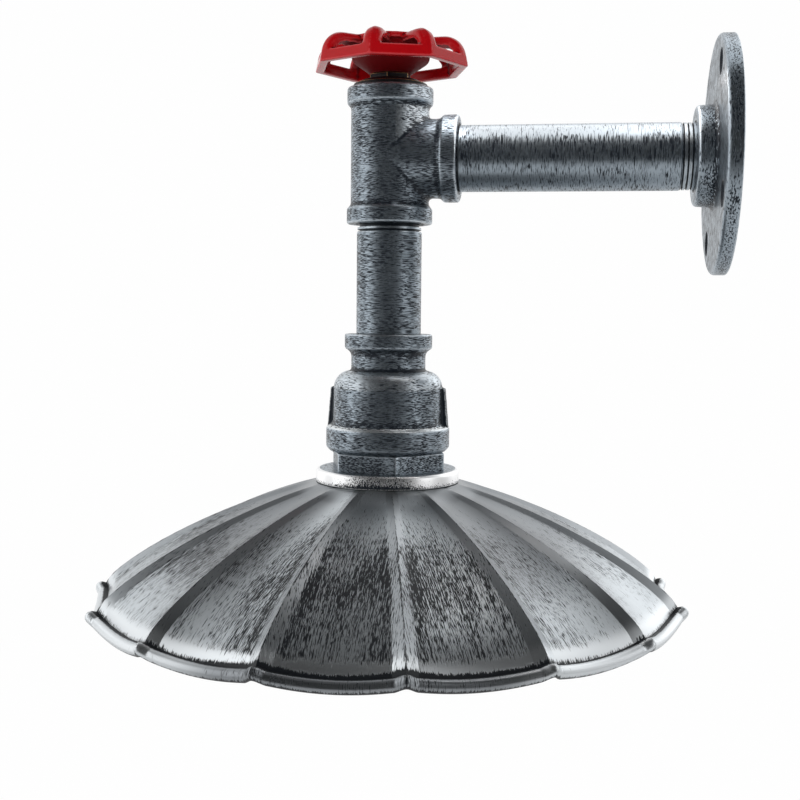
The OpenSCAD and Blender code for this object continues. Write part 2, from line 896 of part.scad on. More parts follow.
module switch_rotor() {
    color("ivory")
    on_lamp()
    ring(rotor_low, rotor_top, rotor_r, tail_r + thread_fit);
}

module rotor_bridge() {
    color("peru")
    on_lamp()
    translate([-bridge_len / 2, -bridge_w / 2, rotor_low - bridge_t])
    cube([bridge_len, bridge_w, bridge_t]);
}

module switch_contacts() {
    color("peru")
    on_lamp()
    for (side = [-1, 1])
        translate([-pad_w / 2, side * pad_y - pad_w / 2, switch_low])
        cube([pad_w, pad_w, pad_top - switch_low]);
}

module switch_terminals() {
    color("goldenrod")
    on_lamp()
    for (side = [-1, 1])
        translate([-terminal_w / 2, side * pad_y - terminal_w / 2, terminal_low])
        cube([terminal_w, terminal_w, terminal_h]);
}

module supply_block() {
    color("whitesmoke")
    translate([block_face, -block_half, block_low])
    cube([block_len, 2 * block_half, block_top - block_low]);
}

module supply_screws() {
    color("goldenrod")
    for (i = [-1, 0, 1])
        translate([block_face + block_len / 2, i * block_pitch, block_top])
        cylinder(h = block_screw_h, r = block_screw_r);
}

// A straight lead along X, Y or Z
module run_x(from, to, y, z) {
    translate([min(from, to), y, z])
    rotate([0, 90, 0])
    cylinder(h = abs(to - from), r = lead_r);
}

module run_y(from, to, x, z) {
    translate([x, max(from, to), z])
    rotate([90, 0, 0])
    cylinder(h = abs(to - from), r = lead_r);
}

module run_z(from, to, x, y) {
    translate([x, y, min(from, to)])
    cylinder(h = abs(to - from), r = lead_r);
}

// A bent lead about an axis along Z, from one angle over a sweep
module bend(radius, from, sweep) {
    rotate([0, 0, from])
    rotate_extrude(angle = sweep)
    translate([radius, 0])
    circle(r = lead_r);
}

// The turn from the arm down into the drop pipe, ending x beside the lamp's axis
module arm_turn(x, y, z) {
    translate([lamp_x + x + lead_bend, y, z - lead_bend])
    rotate([90, 0, 0])
    bend(lead_bend, 90, 90);
}

// The end of a lead in the lampholder: out of the nipple and sideways into its post
module holder_end() {
    translate([lamp_x, core_y + holder_bend, entry_z])
    rotate([0, 90, 0])
    bend(holder_bend, -90, 90);
    run_y(core_y + holder_bend, post_y - post_w / 2, lamp_x, entry_z - holder_bend);
}

module live_lead() {
    color("saddlebrown")
    run_x(block_face, lamp_x + terminal_w / 2, -pad_y, live_z);
}

module switched_lead() {
    color("black") {
        run_z(terminal_low, entry_z, lamp_x, core_y);
        holder_end();
    }
}

module neutral_lead() {
    color("royalblue") {
        run_x(block_face, lamp_x + lead_bend, -core_y, neutral_z);
        arm_turn(0, -core_y, neutral_z);
        run_z(neutral_z - lead_bend, entry_z, lamp_x, -core_y);
        mirror([0, 1, 0])
        holder_end();
    }
}

module earth_lead() {
    color("yellowgreen") {
        run_x(block_face, lamp_x + earth_x + lead_bend, earth_y, earth_z);
        arm_turn(earth_x, earth_y, earth_z);
        run_z(earth_z - lead_bend, floor_top + lug_t, lamp_x + earth_x, earth_y);
    }
}

module earth_lug() {
    color("silver")
    translate([lamp_x, earth_y, floor_top])
    difference() {
        union() {
            translate([lug_x, 0, 0])
            cylinder(h = lug_t, r = lug_r);
            translate([earth_x - lead_r, -lead_r, 0])
            cube([lug_x - earth_x + lead_r, lead_d, lug_t]);
        }
        translate([lug_x, 0, -cut])
        cylinder(h = lug_t + 2 * cut, r = screw_r + slip_fit);
    }
}

module earth_screw() {
    color("goldenrod")
    translate([lamp_x + lug_x, earth_y, floor_top])
    union() {
        translate([0, 0, -screw_depth])
        cylinder(h = screw_depth + lug_t + screw_head_h / 2, r = screw_r);
        translate([0, 0, lug_t])
        cylinder(h = screw_head_h, r = screw_head_r);
    }
}

wall_flange();
arm_pipe();
tee();
drop_pipe();
reducer();
hex_plug();
crown_cap();
shade();
clamp_washer();
nipple();
lock_washer();
lock_nut();
holder_cap();
holder_skirt();
holder_core();
socket_shell();
centre_contact();
holder_terminals();
bonnet();
gland_nut();
stem();
handwheel();
wheel_washer();
wheel_nut();
switch_body();
switch_cover();
switch_rotor();
rotor_bridge();
switch_contacts();
switch_terminals();
supply_block();
supply_screws();
live_lead();
switched_lead();
neutral_lead();
earth_lead();
earth_lug();
earth_screw();
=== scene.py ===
"""Looks of a pipe wall light: refined castings, shade, handwheel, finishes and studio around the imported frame.

Lengths in the classes are millimetres in the part's frame. A mesh is drawn about Z, then set onto the
lamp's upright axis or along the arm and scaled to metres.
"""

import json
import logging
import math
from dataclasses import dataclass
from enum import Enum
from typing import Any, Callable, Optional, Sequence, Union

import bmesh
import bpy
import numpy as np
from bmesh.types import BMesh
from bpy.types import Material, Mesh, Node, NodeSocket, NodeTree, Object
from mathutils import Matrix, Vector


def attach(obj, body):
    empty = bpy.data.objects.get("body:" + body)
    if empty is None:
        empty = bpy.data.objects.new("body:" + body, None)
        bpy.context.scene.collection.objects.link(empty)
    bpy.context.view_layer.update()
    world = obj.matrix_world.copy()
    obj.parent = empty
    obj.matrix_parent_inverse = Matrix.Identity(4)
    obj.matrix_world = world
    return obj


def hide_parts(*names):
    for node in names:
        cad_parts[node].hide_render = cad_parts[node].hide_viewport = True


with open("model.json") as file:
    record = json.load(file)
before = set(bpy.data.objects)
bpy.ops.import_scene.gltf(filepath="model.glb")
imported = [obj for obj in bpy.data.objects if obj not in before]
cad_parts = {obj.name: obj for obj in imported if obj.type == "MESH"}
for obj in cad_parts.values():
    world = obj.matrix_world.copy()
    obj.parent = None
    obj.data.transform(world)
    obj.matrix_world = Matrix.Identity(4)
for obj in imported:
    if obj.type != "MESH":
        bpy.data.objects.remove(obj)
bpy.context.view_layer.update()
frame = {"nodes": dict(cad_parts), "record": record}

LOG = logging.getLogger("pipe_wall_light")
Colour = tuple[float, float, float]
Spot = tuple[float, float, float]
Span = tuple[float, float]
Feed = Union[NodeSocket, float, Sequence[float], None]
MM = 0.001
LAMP_X = -136.0
LAMP_MIDDLE: Spot = (-120.0, 0.0, -80.0)
FULL_TURN = 2 * math.pi
# Longer than any outline's edge, so that no edge is cut.
UNCUT = 99.0
# How far a cutter stands past the face that it cuts.
PAST = 1.0
# Distances under which a corner counts as on the axis and under which two corners are one.
ON_AXIS = 1e-6
WELD = 1e-4
# Sharpest bend that is kept, in 1/mm.
BEND_LIMIT = 0.8
# Millimetres in one unit of the shade's UV map.
SHEET_UNIT = 100.0
# Slopes on the shade at which the rolled rim and the lining start.
BEAD_SLOPE = 1.02
LINING_SLOPE = 2.0
# Middle of a noise's values, and the range in which most of them lie.
NOISE_MIDDLE = 0.5
NOISE_SPAN: Span = (0.3, 0.7)
# Places of the two colours and of the result among a Mix node's sockets.
MIX_COLOURS = (6, 7)
MIX_RESULT = 2


class Placing(Enum):
    """Where a shape drawn about Z stands in the part."""

    LAMP = "on the lamp's upright axis"
    ARM = "along the arm, with Z away from the wall"

    def matrix(self) -> Matrix:
        """Gives the move from drawing millimetres to the part's metres."""
        scale = Matrix.Scale(MM, 4)
        if self is Placing.LAMP:
            return scale @ Matrix.Translation((LAMP_X, 0, 0))
        return scale @ Matrix.Rotation(-math.pi / 2, 4, "Y")


class Easing(Enum):
    """What a rounding works on."""

    CORNERS = "VERTICES"
    EDGES = "EDGES"


class Body(Enum):
    """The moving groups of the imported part."""

    FLANGE = "flange"
    LAMP = "lamp"
    WHEEL = "wheel"


@dataclass(frozen=True)
class Corner:
    """A corner of a turned outline."""

    r: float
    z: float
    round: float = 0.0


class Graph:
    """Short calls for building one node tree."""

    def __init__(self, tree: NodeTree) -> None:
        """Keeps the tree that the calls add to.

        Args:
            tree: A material's, group's or world's node tree.
        """
        self.tree = tree

    def node(self, kind: str, **settings: Any) -> Node:
        """Adds a node.

        Args:
            kind: The node's type name.
            settings: Properties to set on it.

        Returns:
            The new node.
        """
        made = self.tree.nodes.new(kind)
        for key, value in settings.items():
            setattr(made, key, value)
        return made

    def feed(self, socket: NodeSocket, value: Feed) -> None:
        """Feeds a socket.

        Args:
            socket: The input to feed.
            value: Another socket, a constant, or None to leave it.
        """
        if isinstance(value, NodeSocket):
            self.tree.links.new(value, socket)
        elif value is not None:
            socket.default_value = value

    def math(self, operation: str, a: Feed, b: Feed = None) -> NodeSocket:
        """Adds a Math node.

        Args:
            operation: The sum to do.
            a: First value.
            b: Second value.

        Returns:
            The result's socket.
        """
        made = self.node("ShaderNodeMath", operation=operation)
        self.feed(made.inputs[0], a)
        self.feed(made.inputs[1], b)
        return made.outputs[0]

    def plus(self, a: Feed, b: Feed) -> NodeSocket:
        """Adds two values."""
        return self.math("ADD", a, b)

    def minus(self, a: Feed, b: Feed) -> NodeSocket:
        """Takes the second value from the first."""
        return self.math("SUBTRACT", a, b)

    def times(self, a: Feed, b: Feed) -> NodeSocket:
        """Multiplies two values."""
        return self.math("MULTIPLY", a, b)

    def magnitude(self, a: Feed) -> NodeSocket:
        """Drops a value's sign."""
        return self.math("ABSOLUTE", a)

    def fit(self, value: Feed, low: float, high: float, to_low: float = 0.0, to_high: float = 1.0) -> NodeSocket:
        """Maps a value smoothly from one range to another.

        Args:
            value: What to map.
            low: Start of the range, which may be above its end.
            high: End of the range.
            to_low: Result at the start.
            to_high: Result at the end.

        Returns:
            The result's socket.
        """
        if low > high:
            low, high, to_low, to_high = high, low, to_high, to_low
        made = self.node("ShaderNodeMapRange", interpolation_type="SMOOTHSTEP")
        for socket, item in zip(made.inputs, (value, low, high, to_low, to_high)):
            self.feed(socket, item)
        return made.outputs[0]

    def varied(self, noise: NodeSocket, low: float, high: float) -> NodeSocket:
        """Spreads a noise value from a low to a high value."""
        return self.fit(noise, *NOISE_SPAN, low, high)

    def mix(self, factor: Feed, a: Feed, b: Feed) -> NodeSocket:
        """Mixes two colours.

        Args:
            factor: Share of the second colour.
            a: First colour.
            b: Second colour.

        Returns:
            The mixed colour's socket.
        """
        made = self.node("ShaderNodeMix", data_type="RGBA")
        self.feed(made.inputs[0], factor)
        for index, item in zip(MIX_COLOURS, (a, b)):
            self.feed(made.inputs[index], (*item, 1.0) if isinstance(item, tuple) else item)
        return made.outputs[MIX_RESULT]

    def noise(self, vector: Feed, scale: float, detail: float = 2.0, rough: float = 0.5) -> NodeSocket:
        """Adds a Noise Texture.

        Args:
            vector: Where to read it.
            scale: Waves for each unit of the vector.
            detail: Octaves of finer noise.
            rough: Strength of the finer noise.

        Returns:
            The noise value's socket.
        """
        made = self.node("ShaderNodeTexNoise")
        self.feed(made.inputs["Vector"], vector)
        self.feed(made.inputs["Scale"], scale)
        self.feed(made.inputs["Detail"], detail)
        self.feed(made.inputs["Roughness"], rough)
        return made.outputs[0]

    def stretch(self, vector: Feed, scale: Sequence[float], turn: Sequence[float] = (0, 0, 0)) -> NodeSocket:
        """Scales and turns a vector.

        Args:
            vector: What to scale.
            scale: Factor along each axis.
            turn: Angles about each axis, in radians.

        Returns:
            The scaled vector's socket.
        """
        made = self.node("ShaderNodeMapping")
        self.feed(made.inputs["Vector"], vector)
        made.inputs["Scale"].default_value = scale
        made.inputs["Rotation"].default_value = turn
        return made.outputs[0]

    def attribute(self, name: str) -> NodeSocket:
        """Reads a mesh attribute's value."""
        return self.node("ShaderNodeAttribute", attribute_name=name).outputs["Fac"]

    def object_mm(self, scale: Sequence[float] = (1, 1, 1), turn: Sequence[float] = (0, 0, 0)) -> NodeSocket:
        """Reads Object coordinates in millimetres.

        Args:
            scale: Further factor along each axis.
            turn: Angles about each axis, in radians.

        Returns:
            The vector's socket.
        """
        coordinates = self.node("ShaderNodeTexCoord").outputs["Object"]
        return self.stretch(coordinates, [s / MM for s in scale], turn)

    def split(self, vector: Feed) -> tuple[NodeSocket, ...]:
        """Splits a vector.

        Args:
            vector: What to split.

        Returns:
            Its X, Y and Z sockets.
        """
        made = self.node("ShaderNodeSeparateXYZ")
        self.feed(made.inputs[0], vector)
        return tuple(made.outputs)

    def from_lamp(self, place: NodeSocket) -> tuple[NodeSocket, ...]:
        """Measures a place from the lamp's upright axis.

        Args:
            place: Object coordinates in millimetres.

        Returns:
            Sockets of X and Y from the axis, the height and the distance from the axis.
        """
        x, y, height = self.split(place)
        x = self.minus(x, LAMP_X)
        reach = self.math("SQRT", self.plus(self.times(x, x), self.times(y, y)))
        return x, y, height, reach


class SharedEffect:
    """A shader node group that is built once and placed in each material that uses it."""

    name: str = ""
    takes: tuple[tuple[str, str, Any], ...] = ()
    gives: tuple[str, ...] = ()
    built: Optional[NodeTree] = None

    @classmethod
    def draw(cls, graph: Graph, given: Node) -> dict[str, NodeSocket]:
        """Draws the group's inside.

        Args:
            graph: The group's own tree.
            given: The group's input node.

        Returns:
            The socket for each output's name.
        """
        raise NotImplementedError

    @classmethod
    def place(cls, graph: Graph, **values: Feed) -> Node:
        """Places the group in a material.

        Args:
            graph: The material's tree.
            values: What feeds each input.

        Returns:
            The group node.
        """
        if cls.built is None:
            tree = bpy.data.node_groups.new(cls.name, "ShaderNodeTree")
            for name, kind, default in cls.takes:
                socket = tree.interface.new_socket(name, in_out="INPUT", socket_type=kind)
                if default is not None:
                    socket.default_value = default
            for name in cls.gives:
                tree.interface.new_socket(name, in_out="OUTPUT", socket_type="NodeSocketFloat")
            inner = Graph(tree)
            results = cls.draw(inner, inner.node("NodeGroupInput"))
            end = inner.node("NodeGroupOutput")
            for name, socket in results.items():
                inner.feed(end.inputs[name], socket)
            cls.built = tree
        made = graph.node("ShaderNodeGroup", node_tree=cls.built)
        for name, value in values.items():
            graph.feed(made.inputs[name], value)
        return made


class DryBrush(SharedEffect):
    """Silver dragged over dark paint with a nearly dry brush, heavier on edges and absent in hollows."""

    name = "dry_brush"
    takes = (
        ("Strokes", "NodeSocketVector", None),
        ("Place", "NodeSocketVector", None),
        ("Cover", "NodeSocketFloat", 0.5),
        ("Patches", "NodeSocketFloat", 0.2),
        ("Bend", "NodeSocketFloat", 0.0),
        ("Edge", "NodeSocketFloat", 0.3),
    )
    gives = ("Silver", "Bright", "Height")
    sway_scale: float = 0.11
    sway_reach: float = 2.5
    cross_stretch: Spot = (1.3, 1.3, 0.7)
    cross_turn: Spot = (0.5, 0.4, 0.3)
    cross_scale: float = 0.8
    cross_share: float = 0.15
    patch_scale: float = 0.12
    hollow_loss: float = 0.2
    silver_span: Span = (0.455, 0.565)
    rubbed_bend: Span = (0.22, 0.50)
    rubbed_streak: Span = (0.38, 0.55)
    silver_height: float = 0.5
    grit_scale: float = 1.5
    grit_height: float = 0.25

    @classmethod
    def draw(cls, graph: Graph, given: Node) -> dict[str, NodeSocket]:
        """Draws streaks, patches and edge wear; see the base class for Args and Returns."""
        bend, place = given.outputs["Bend"], given.outputs["Place"]
        swayed = graph.node("ShaderNodeVectorMath", operation="ADD")
        graph.feed(swayed.inputs[0], given.outputs["Strokes"])
        graph.feed(swayed.inputs[1], graph.times(graph.noise(place, cls.sway_scale), cls.sway_reach))
        fine = graph.noise(swayed.outputs[0], 1.0)
        cross = graph.noise(graph.stretch(swayed.outputs[0], cls.cross_stretch, cls.cross_turn), cls.cross_scale)
        streak = graph.plus(graph.times(fine, 1 - cls.cross_share), graph.times(cross, cls.cross_share))
        patch = graph.minus(graph.noise(place, cls.patch_scale), NOISE_MIDDLE)
        level = graph.plus(streak, graph.times(patch, given.outputs["Patches"]))
        level = graph.plus(level, graph.minus(given.outputs["Cover"], NOISE_MIDDLE))
        worn = graph.plus(level, graph.times(bend, given.outputs["Edge"]))
        hollow = graph.times(graph.math("MINIMUM", bend, 0.0), cls.hollow_loss)
        silver = graph.fit(graph.plus(worn, hollow), *cls.silver_span)
        rub = graph.times(graph.fit(bend, *cls.rubbed_bend), graph.fit(streak, *cls.rubbed_streak))
        grit = graph.times(graph.noise(place, cls.grit_scale, 3.0, 0.6), cls.grit_height)
        height = graph.plus(graph.times(silver, cls.silver_height), grit)
        return {"Silver": silver, "Bright": rub, "Height": height}


class Flecks(SharedEffect):
    """Dark flecks left between strokes that follow a sheet's length."""

    name = "flecks"
    takes = (("Sheet", "NodeSocketVector", None), ("Density", "NodeSocketFloat", 0.5))
    gives = ("Fleck", "Streak")
    fine_stretch: Spot = (3.3, 0.32, 1.0)
    long_stretch: Spot = (2.4, 0.05, 1.0)
    long_share: float = 0.42
    fleck_span: Span = (0.475, 0.545)

    @classmethod
    def draw(cls, graph: Graph, given: Node) -> dict[str, NodeSocket]:
        """Draws long thin flecks; see the base class for Args and Returns."""
        sheet = given.outputs["Sheet"]
        fine = graph.noise(graph.stretch(sheet, cls.fine_stretch), 1.0)
        long = graph.noise(graph.stretch(sheet, cls.long_stretch), 1.0, 3.0, 0.55)
        streak = graph.plus(graph.times(fine, 1 - cls.long_share), graph.times(long, cls.long_share))
        level = graph.plus(streak, graph.minus(given.outputs["Density"], NOISE_MIDDLE))
        return {"Fleck": graph.fit(level, *cls.fleck_span), "Streak": long}


def shaded(name: str) -> tuple[Material, Graph, Node]:
    """Starts a material.

    Args:
        name: The material's name.

    Returns:
        The material, its graph and its Principled shader.
    """
    material = bpy.data.materials.new(name)
    material.use_nodes = True
    shader = material.node_tree.nodes["Principled BSDF"]
    return material, Graph(material.node_tree), shader


def bumped(graph: Graph, shader: Node, height: NodeSocket, depth: float, strength: float) -> None:
    """Gives a shader a bump.

    Args:
        graph: The material's tree.
        shader: Its Principled shader.
        height: The bump's height, about 0 to 1.
        depth: Real depth of that height, in millimetres.
        strength: Share of the bump that is applied.
    """
    bump = graph.node("ShaderNodeBump")
    bump.inputs["Strength"].default_value = strength
    bump.inputs["Distance"].default_value = depth * MM
    graph.feed(bump.inputs["Height"], height)
    graph.feed(shader.inputs["Normal"], bump.outputs[0])


class Finish:
    """A surface finish that makes its material once."""

    made: dict[str, Material] = {}
    name: str

    def build(self) -> Material:
        """Builds the material."""
        raise NotImplementedError

    def material(self) -> Material:
        """Gives the material, building it at its first use."""
        if self.name not in Finish.made:
            Finish.made[self.name] = self.build()
        return Finish.made[self.name]


@dataclass(frozen=True)
class BrushedPaint(Finish):
    """Near-black paint dry-brushed with silver.

    strokes gives waves per millimetre along each axis and tilt turns them. Each band is a height and a cover. metal
    and rough run from bare paint to full silver, and relief is the bump's depth and strength.
    """

    name: str
    strokes: Spot
    cover: float = 0.50
    patches: float = 0.18
    edge: float = 0.28
    dark: Colour = (0.0095, 0.0135, 0.0195)
    silver: Colour = (0.315, 0.365, 0.41)
    bright: Colour = (0.66, 0.70, 0.73)
    bands: tuple[Span, ...] = ()
    tilt: Spot = (0.05, 0.05, 0.05)
    rub: float = 0.5
    metal: Span = (0.25, 0.97)
    rough: Span = (0.40, 0.34)
    sheen: float = 0.25
    relief: Span = (0.06, 0.5)

    def covered(self, graph: Graph, place: NodeSocket) -> Feed:
        """Works out how much silver covers the paint.

        Args:
            graph: The material's tree.
            place: Object coordinates in millimetres.

        Returns:
            The cover, which runs from band to band where the finish has bands.
        """
        if not self.bands:
            return self.cover
        height = graph.split(place)[2]
        total: Feed = self.bands[0][1]
        for (low, thin), (high, full) in zip(self.bands, self.bands[1:]):
            total = graph.plus(total, graph.fit(height, low, high, 0.0, full - thin))
        return total

    def build(self) -> Material:
        """Builds the paint from the shared dry brush."""
        material, graph, shader = shaded(self.name)
        place = graph.object_mm()
        brush = DryBrush.place(
            graph,
            Strokes=graph.object_mm(self.strokes, self.tilt),
            Place=place,
            Cover=self.covered(graph, place),
            Patches=self.patches,
            Bend=graph.attribute("bend"),
            Edge=self.edge,
        )
        silver = brush.outputs["Silver"]
        tone = graph.mix(silver, self.dark, self.silver)
        tone = graph.mix(graph.times(brush.outputs["Bright"], self.rub), tone, self.bright)
        graph.feed(shader.inputs["Base Color"], tone)
        graph.feed(shader.inputs["Metallic"], graph.fit(silver, 0.0, 1.0, *self.metal))
        graph.feed(shader.inputs["Roughness"], graph.fit(silver, 0.0, 1.0, *self.rough))
        shader.inputs["Specular IOR Level"].default_value = self.sheen
        bumped(graph, shader, brush.outputs["Height"], *self.relief)
        return material


@dataclass(frozen=True)
class CrownPaint(BrushedPaint):
    """The crown cap's paint: heavy silver, thinned in front and behind as painted shade."""

    front_back_painted_shade: float = 0.20
    front_back_painted_shade_reach: Span = (7.0, 21.0)

    def covered(self, graph: Graph, place: NodeSocket) -> NodeSocket:
        """Thins the silver towards the middle, front and back, as painted shade; see the base class for Args and
        Returns.
        """
        across = graph.magnitude(graph.minus(graph.split(place)[0], LAMP_X))
        return graph.plus(super().covered(graph, place), graph.fit(across, *self.front_back_painted_shade_reach, -self.front_back_painted_shade, 0.0))


@dataclass(frozen=True)
class FleckWeights:
    """How much each zone of the shade adds to the density of its dark flecks."""

    base: float = 0.378
    panel: float = 0.13
    upper: float = 0.04
    foot: float = 0.04
    crest: float = 0.10
    # groove, line, bead and under add painted shade in the groove above the rim and under the rim; front_low,
    # side_low, left, right and far_right thin the flecks by side as painted light.
    groove: float = 0.34
    line: float = 0.40
    bead: float = 0.02
    under: float = 0.26
    rib: float = 0.055
    front_low: float = -0.028
    side_low: float = -0.040
    left: float = -0.058
    right: float = -0.050
    far_right: float = -0.05


@dataclass(frozen=True)
class SheetPaint(Finish):
    """The shade's paint: silver drawn from crown to hem over black, thin in the panels and full on the hem.

    The mesh carries two values for it. place runs from 0 on a rib's crest over 1 at its foot to 2 in mid panel.
    slope runs from 0 at the crown over 1 in the groove above the rim to 2 at the rim's inner edge.
    """

    name: str = "shade_outside"
    silver: Colour = (0.46, 0.495, 0.52)
    bright: Colour = (0.64, 0.67, 0.69)
    dark: Colour = (0.006, 0.008, 0.011)
    # dull is the grey of painted shade on the ribs, on the upper side panels and on the rim where it faces front and
    # back.
    dull: Colour = (0.24, 0.255, 0.27)
    front: float = 4.0
    weights: FleckWeights = FleckWeights()
    drift: float = 0.18
    drift_stretch: Spot = (0.09, 0.03, 1.0)
    rib_painted_shade: float = 0.62
    panel_painted_shade: float = 0.95
    side_painted_shade: float = 0.35
    streaks: float = 0.25
    metal: Span = (0.95, 0.3)
    rough: Span = (0.33, 0.5)
    relief: Span = (0.06, 0.4)

    def side(self, graph: Graph) -> NodeSocket:
        """Finds which side of the front rib a spot lies on.

        Args:
            graph: The material's tree.

        Returns:
            A socket from -1 on the left to 1 on the right, as seen from the axis.
        """
        # Painted light and shade are keyed to this side: fleck density and dull grey change from the front to the left
        # and right.
        x, y, _, reach = graph.from_lamp(graph.object_mm())
        turn = math.radians(self.front)
        across = graph.plus(graph.times(x, math.cos(turn)), graph.times(y, math.sin(turn)))
        return graph.math("DIVIDE", across, reach)

    def density(self, graph: Graph, side: NodeSocket) -> NodeSocket:
        """Works out how dense the dark flecks are over the sheet.

        Args:
            graph: The material's tree.
            side: What the side method gives.

        Returns:
            The density's socket, from 0 to about 1.
        """
        place, slope = graph.attribute("place"), graph.attribute("slope")
        # Painted shade and light: denser flecks in the groove, under the rim and where the sheet faces front and back,
        # fewer to the left and right.
        facing = graph.fit(graph.magnitude(side), 0.62, 0.36)
        body = graph.times(graph.fit(slope, 0.0, 0.55), graph.fit(slope, 0.945, 0.905))
        foot = graph.fit(graph.magnitude(graph.minus(place, 1.08)), 0.24, 0.0)
        groove = graph.times(graph.fit(slope, 0.96, 0.998), graph.fit(slope, 1.09, 1.03))
        zones = {
            "panel": graph.times(graph.fit(place, 0.62, 1.2), body),
            "upper": graph.fit(slope, 0.10, 0.45),
            "foot": graph.times(foot, graph.fit(slope, 0.05, 0.4)),
            "crest": graph.fit(place, 0.14, 0.02),
            "groove": graph.times(groove, graph.fit(facing, 0.0, 1.0, 0.60, 1.0)),
            "line": graph.fit(graph.magnitude(graph.minus(slope, 1.012)), 0.016, 0.006),
            "bead": graph.times(graph.fit(slope, 1.05, 1.12), facing),
            "under": graph.fit(slope, 1.36, 1.50),
            "rib": graph.times(graph.fit(place, 1.0, 0.8), graph.fit(slope, 0.1, 0.5)),
            "front_low": graph.times(graph.fit(slope, 0.55, 0.75), facing),
            "side_low": graph.times(graph.fit(slope, 0.55, 0.80), graph.fit(facing, 1.0, 0.0)),
            "left": graph.fit(side, -0.36, -0.50),
            "right": graph.fit(side, 0.38, 0.50),
            "far_right": graph.fit(side, 0.66, 0.80),
        }
        total: Feed = self.weights.base
        for name, zone in zones.items():
            total = graph.plus(graph.times(zone, getattr(self.weights, name)), total)
        return total

    def dulling(self, graph: Graph, side: NodeSocket, facing: NodeSocket) -> NodeSocket:
        """Works out where painted shade turns the silver grey.

        Args:
            graph: The material's tree.
            side: What the side method gives.
            facing: 1 on the panels beside the front rib, 0 at the sides.

        Returns:
            A mask that is full on the ribs and near the crown at the sides.
        """
        place, slope = graph.attribute("place"), graph.attribute("slope")
        above_hem = graph.times(graph.fit(slope, 0.95, 0.88), self.rib_painted_shade)
        ribs = graph.times(graph.fit(place, 1.08, 0.92), above_hem)
        beside = graph.times(graph.minus(1.0, facing), self.panel_painted_shade)
        lowered = graph.plus(slope, graph.times(graph.magnitude(side), self.side_painted_shade))
        return graph.math("MAXIMUM", ribs, graph.times(graph.fit(lowered, 1.06, 0.72), beside))

    def build(self) -> Material:
        """Builds the paint from the shared flecks."""
        material, graph, shader = shaded(self.name)
        lengths = graph.node("ShaderNodeUVMap", uv_map="sheet").outputs[0]
        sheet = graph.stretch(lengths, (SHEET_UNIT, SHEET_UNIT, 1.0))
        spread = graph.noise(graph.stretch(sheet, self.drift_stretch), 1.0)
        drift = graph.times(graph.minus(spread, NOISE_MIDDLE), self.drift)
        side = self.side(graph)
        flecks = Flecks.place(graph, Sheet=sheet, Density=graph.plus(self.density(graph, side), drift))
        fleck, streak = flecks.outputs["Fleck"], flecks.outputs["Streak"]
        slope = graph.attribute("slope")
        hem = graph.times(graph.fit(slope, 0.86, 0.955), graph.fit(slope, 1.5, 1.3))
        hem = graph.plus(hem, graph.times(graph.fit(streak, 0.4, 0.7), self.streaks))
        silver = graph.mix(hem, self.silver, self.bright)
        # Painted shade: the rim goes dull grey where it faces front and back, and the ribs and the upper side panels
        # go dull grey.
        facing = graph.fit(graph.magnitude(side), 0.60, 0.38)
        silver = graph.mix(graph.times(graph.fit(slope, 0.99, 1.05), facing), silver, self.dull)
        silver = graph.mix(self.dulling(graph, side, facing), silver, self.dull)
        graph.feed(shader.inputs["Base Color"], graph.mix(fleck, silver, self.dark))
        graph.feed(shader.inputs["Metallic"], graph.fit(fleck, 0.0, 1.0, *self.metal))
        graph.feed(shader.inputs["Roughness"], graph.fit(fleck, 0.0, 1.0, *self.rough))
        bumped(graph, shader, graph.minus(streak, fleck), *self.relief)
        return material


@dataclass(frozen=True)
class Enamel(Finish):
    """Thick gloss paint on a casting, rougher in the hub's bowl, with painted shade there and in hollows, painted
    highlights on edges.
    """

    name: str
    colour: Colour
    # deep is a darker red, reached by random tone and by painted shade; edge is the paler red of the painted
    # highlight.
    deep: Colour
    edge: Colour
    bowl_r: Span = (22.0, 18.5)
    bowl_painted_shade_top: Span = (46.6, 45.6)
    bowl_rough: float = 0.5
    # hollow: bends that darken into painted shade; corner and thin: bends and share of the painted highlight.
    hollow: Span = (0.05, -0.35)
    corner: Span = (0.20, 0.45)
    thin: float = 0.45
    gloss: Span = (0.13, 0.24)
    sheen: float = 0.12
    coat: Span = (0.05, 0.04)
    relief: Span = (0.10, 0.35)

    def build(self) -> Material:
        """Builds gloss paint with painted shade, a darker red, in hollows and the bowl, and painted highlights, a
        paler red, on edges.
        """
        material, graph, shader = shaded(self.name)
        place, bend = graph.object_mm(), graph.attribute("bend")
        _, _, height, reach = graph.from_lamp(place)
        # Painted shade: darker, rougher red in the bowl under the hub's plate, and darker red in hollows.
        bowl_painted_shade = graph.times(graph.fit(reach, *self.bowl_r), graph.fit(height, *self.bowl_painted_shade_top))
        tone_and_painted_shade = graph.plus(graph.plus(graph.fit(bend, *self.hollow), graph.noise(place, 0.12, 2.0)), bowl_painted_shade)
        tone = graph.mix(graph.fit(tone_and_painted_shade, 0.5, 1.5), self.colour, self.deep)
        # Painted highlight: outward edges turn a paler red.
        thin = graph.times(graph.fit(bend, *self.corner), self.thin)
        graph.feed(shader.inputs["Base Color"], graph.mix(thin, tone, self.edge))
        gloss = graph.varied(graph.noise(place, 0.5, 3.0), *self.gloss)
        graph.feed(shader.inputs["Roughness"], graph.plus(gloss, graph.times(bowl_painted_shade, self.bowl_rough)))
        shader.inputs["Specular IOR Level"].default_value = self.sheen
        shader.inputs["Coat Weight"].default_value, shader.inputs["Coat Roughness"].default_value = self.coat
        bumped(graph, shader, graph.noise(place, 0.33, 2.0), *self.relief)
        return material


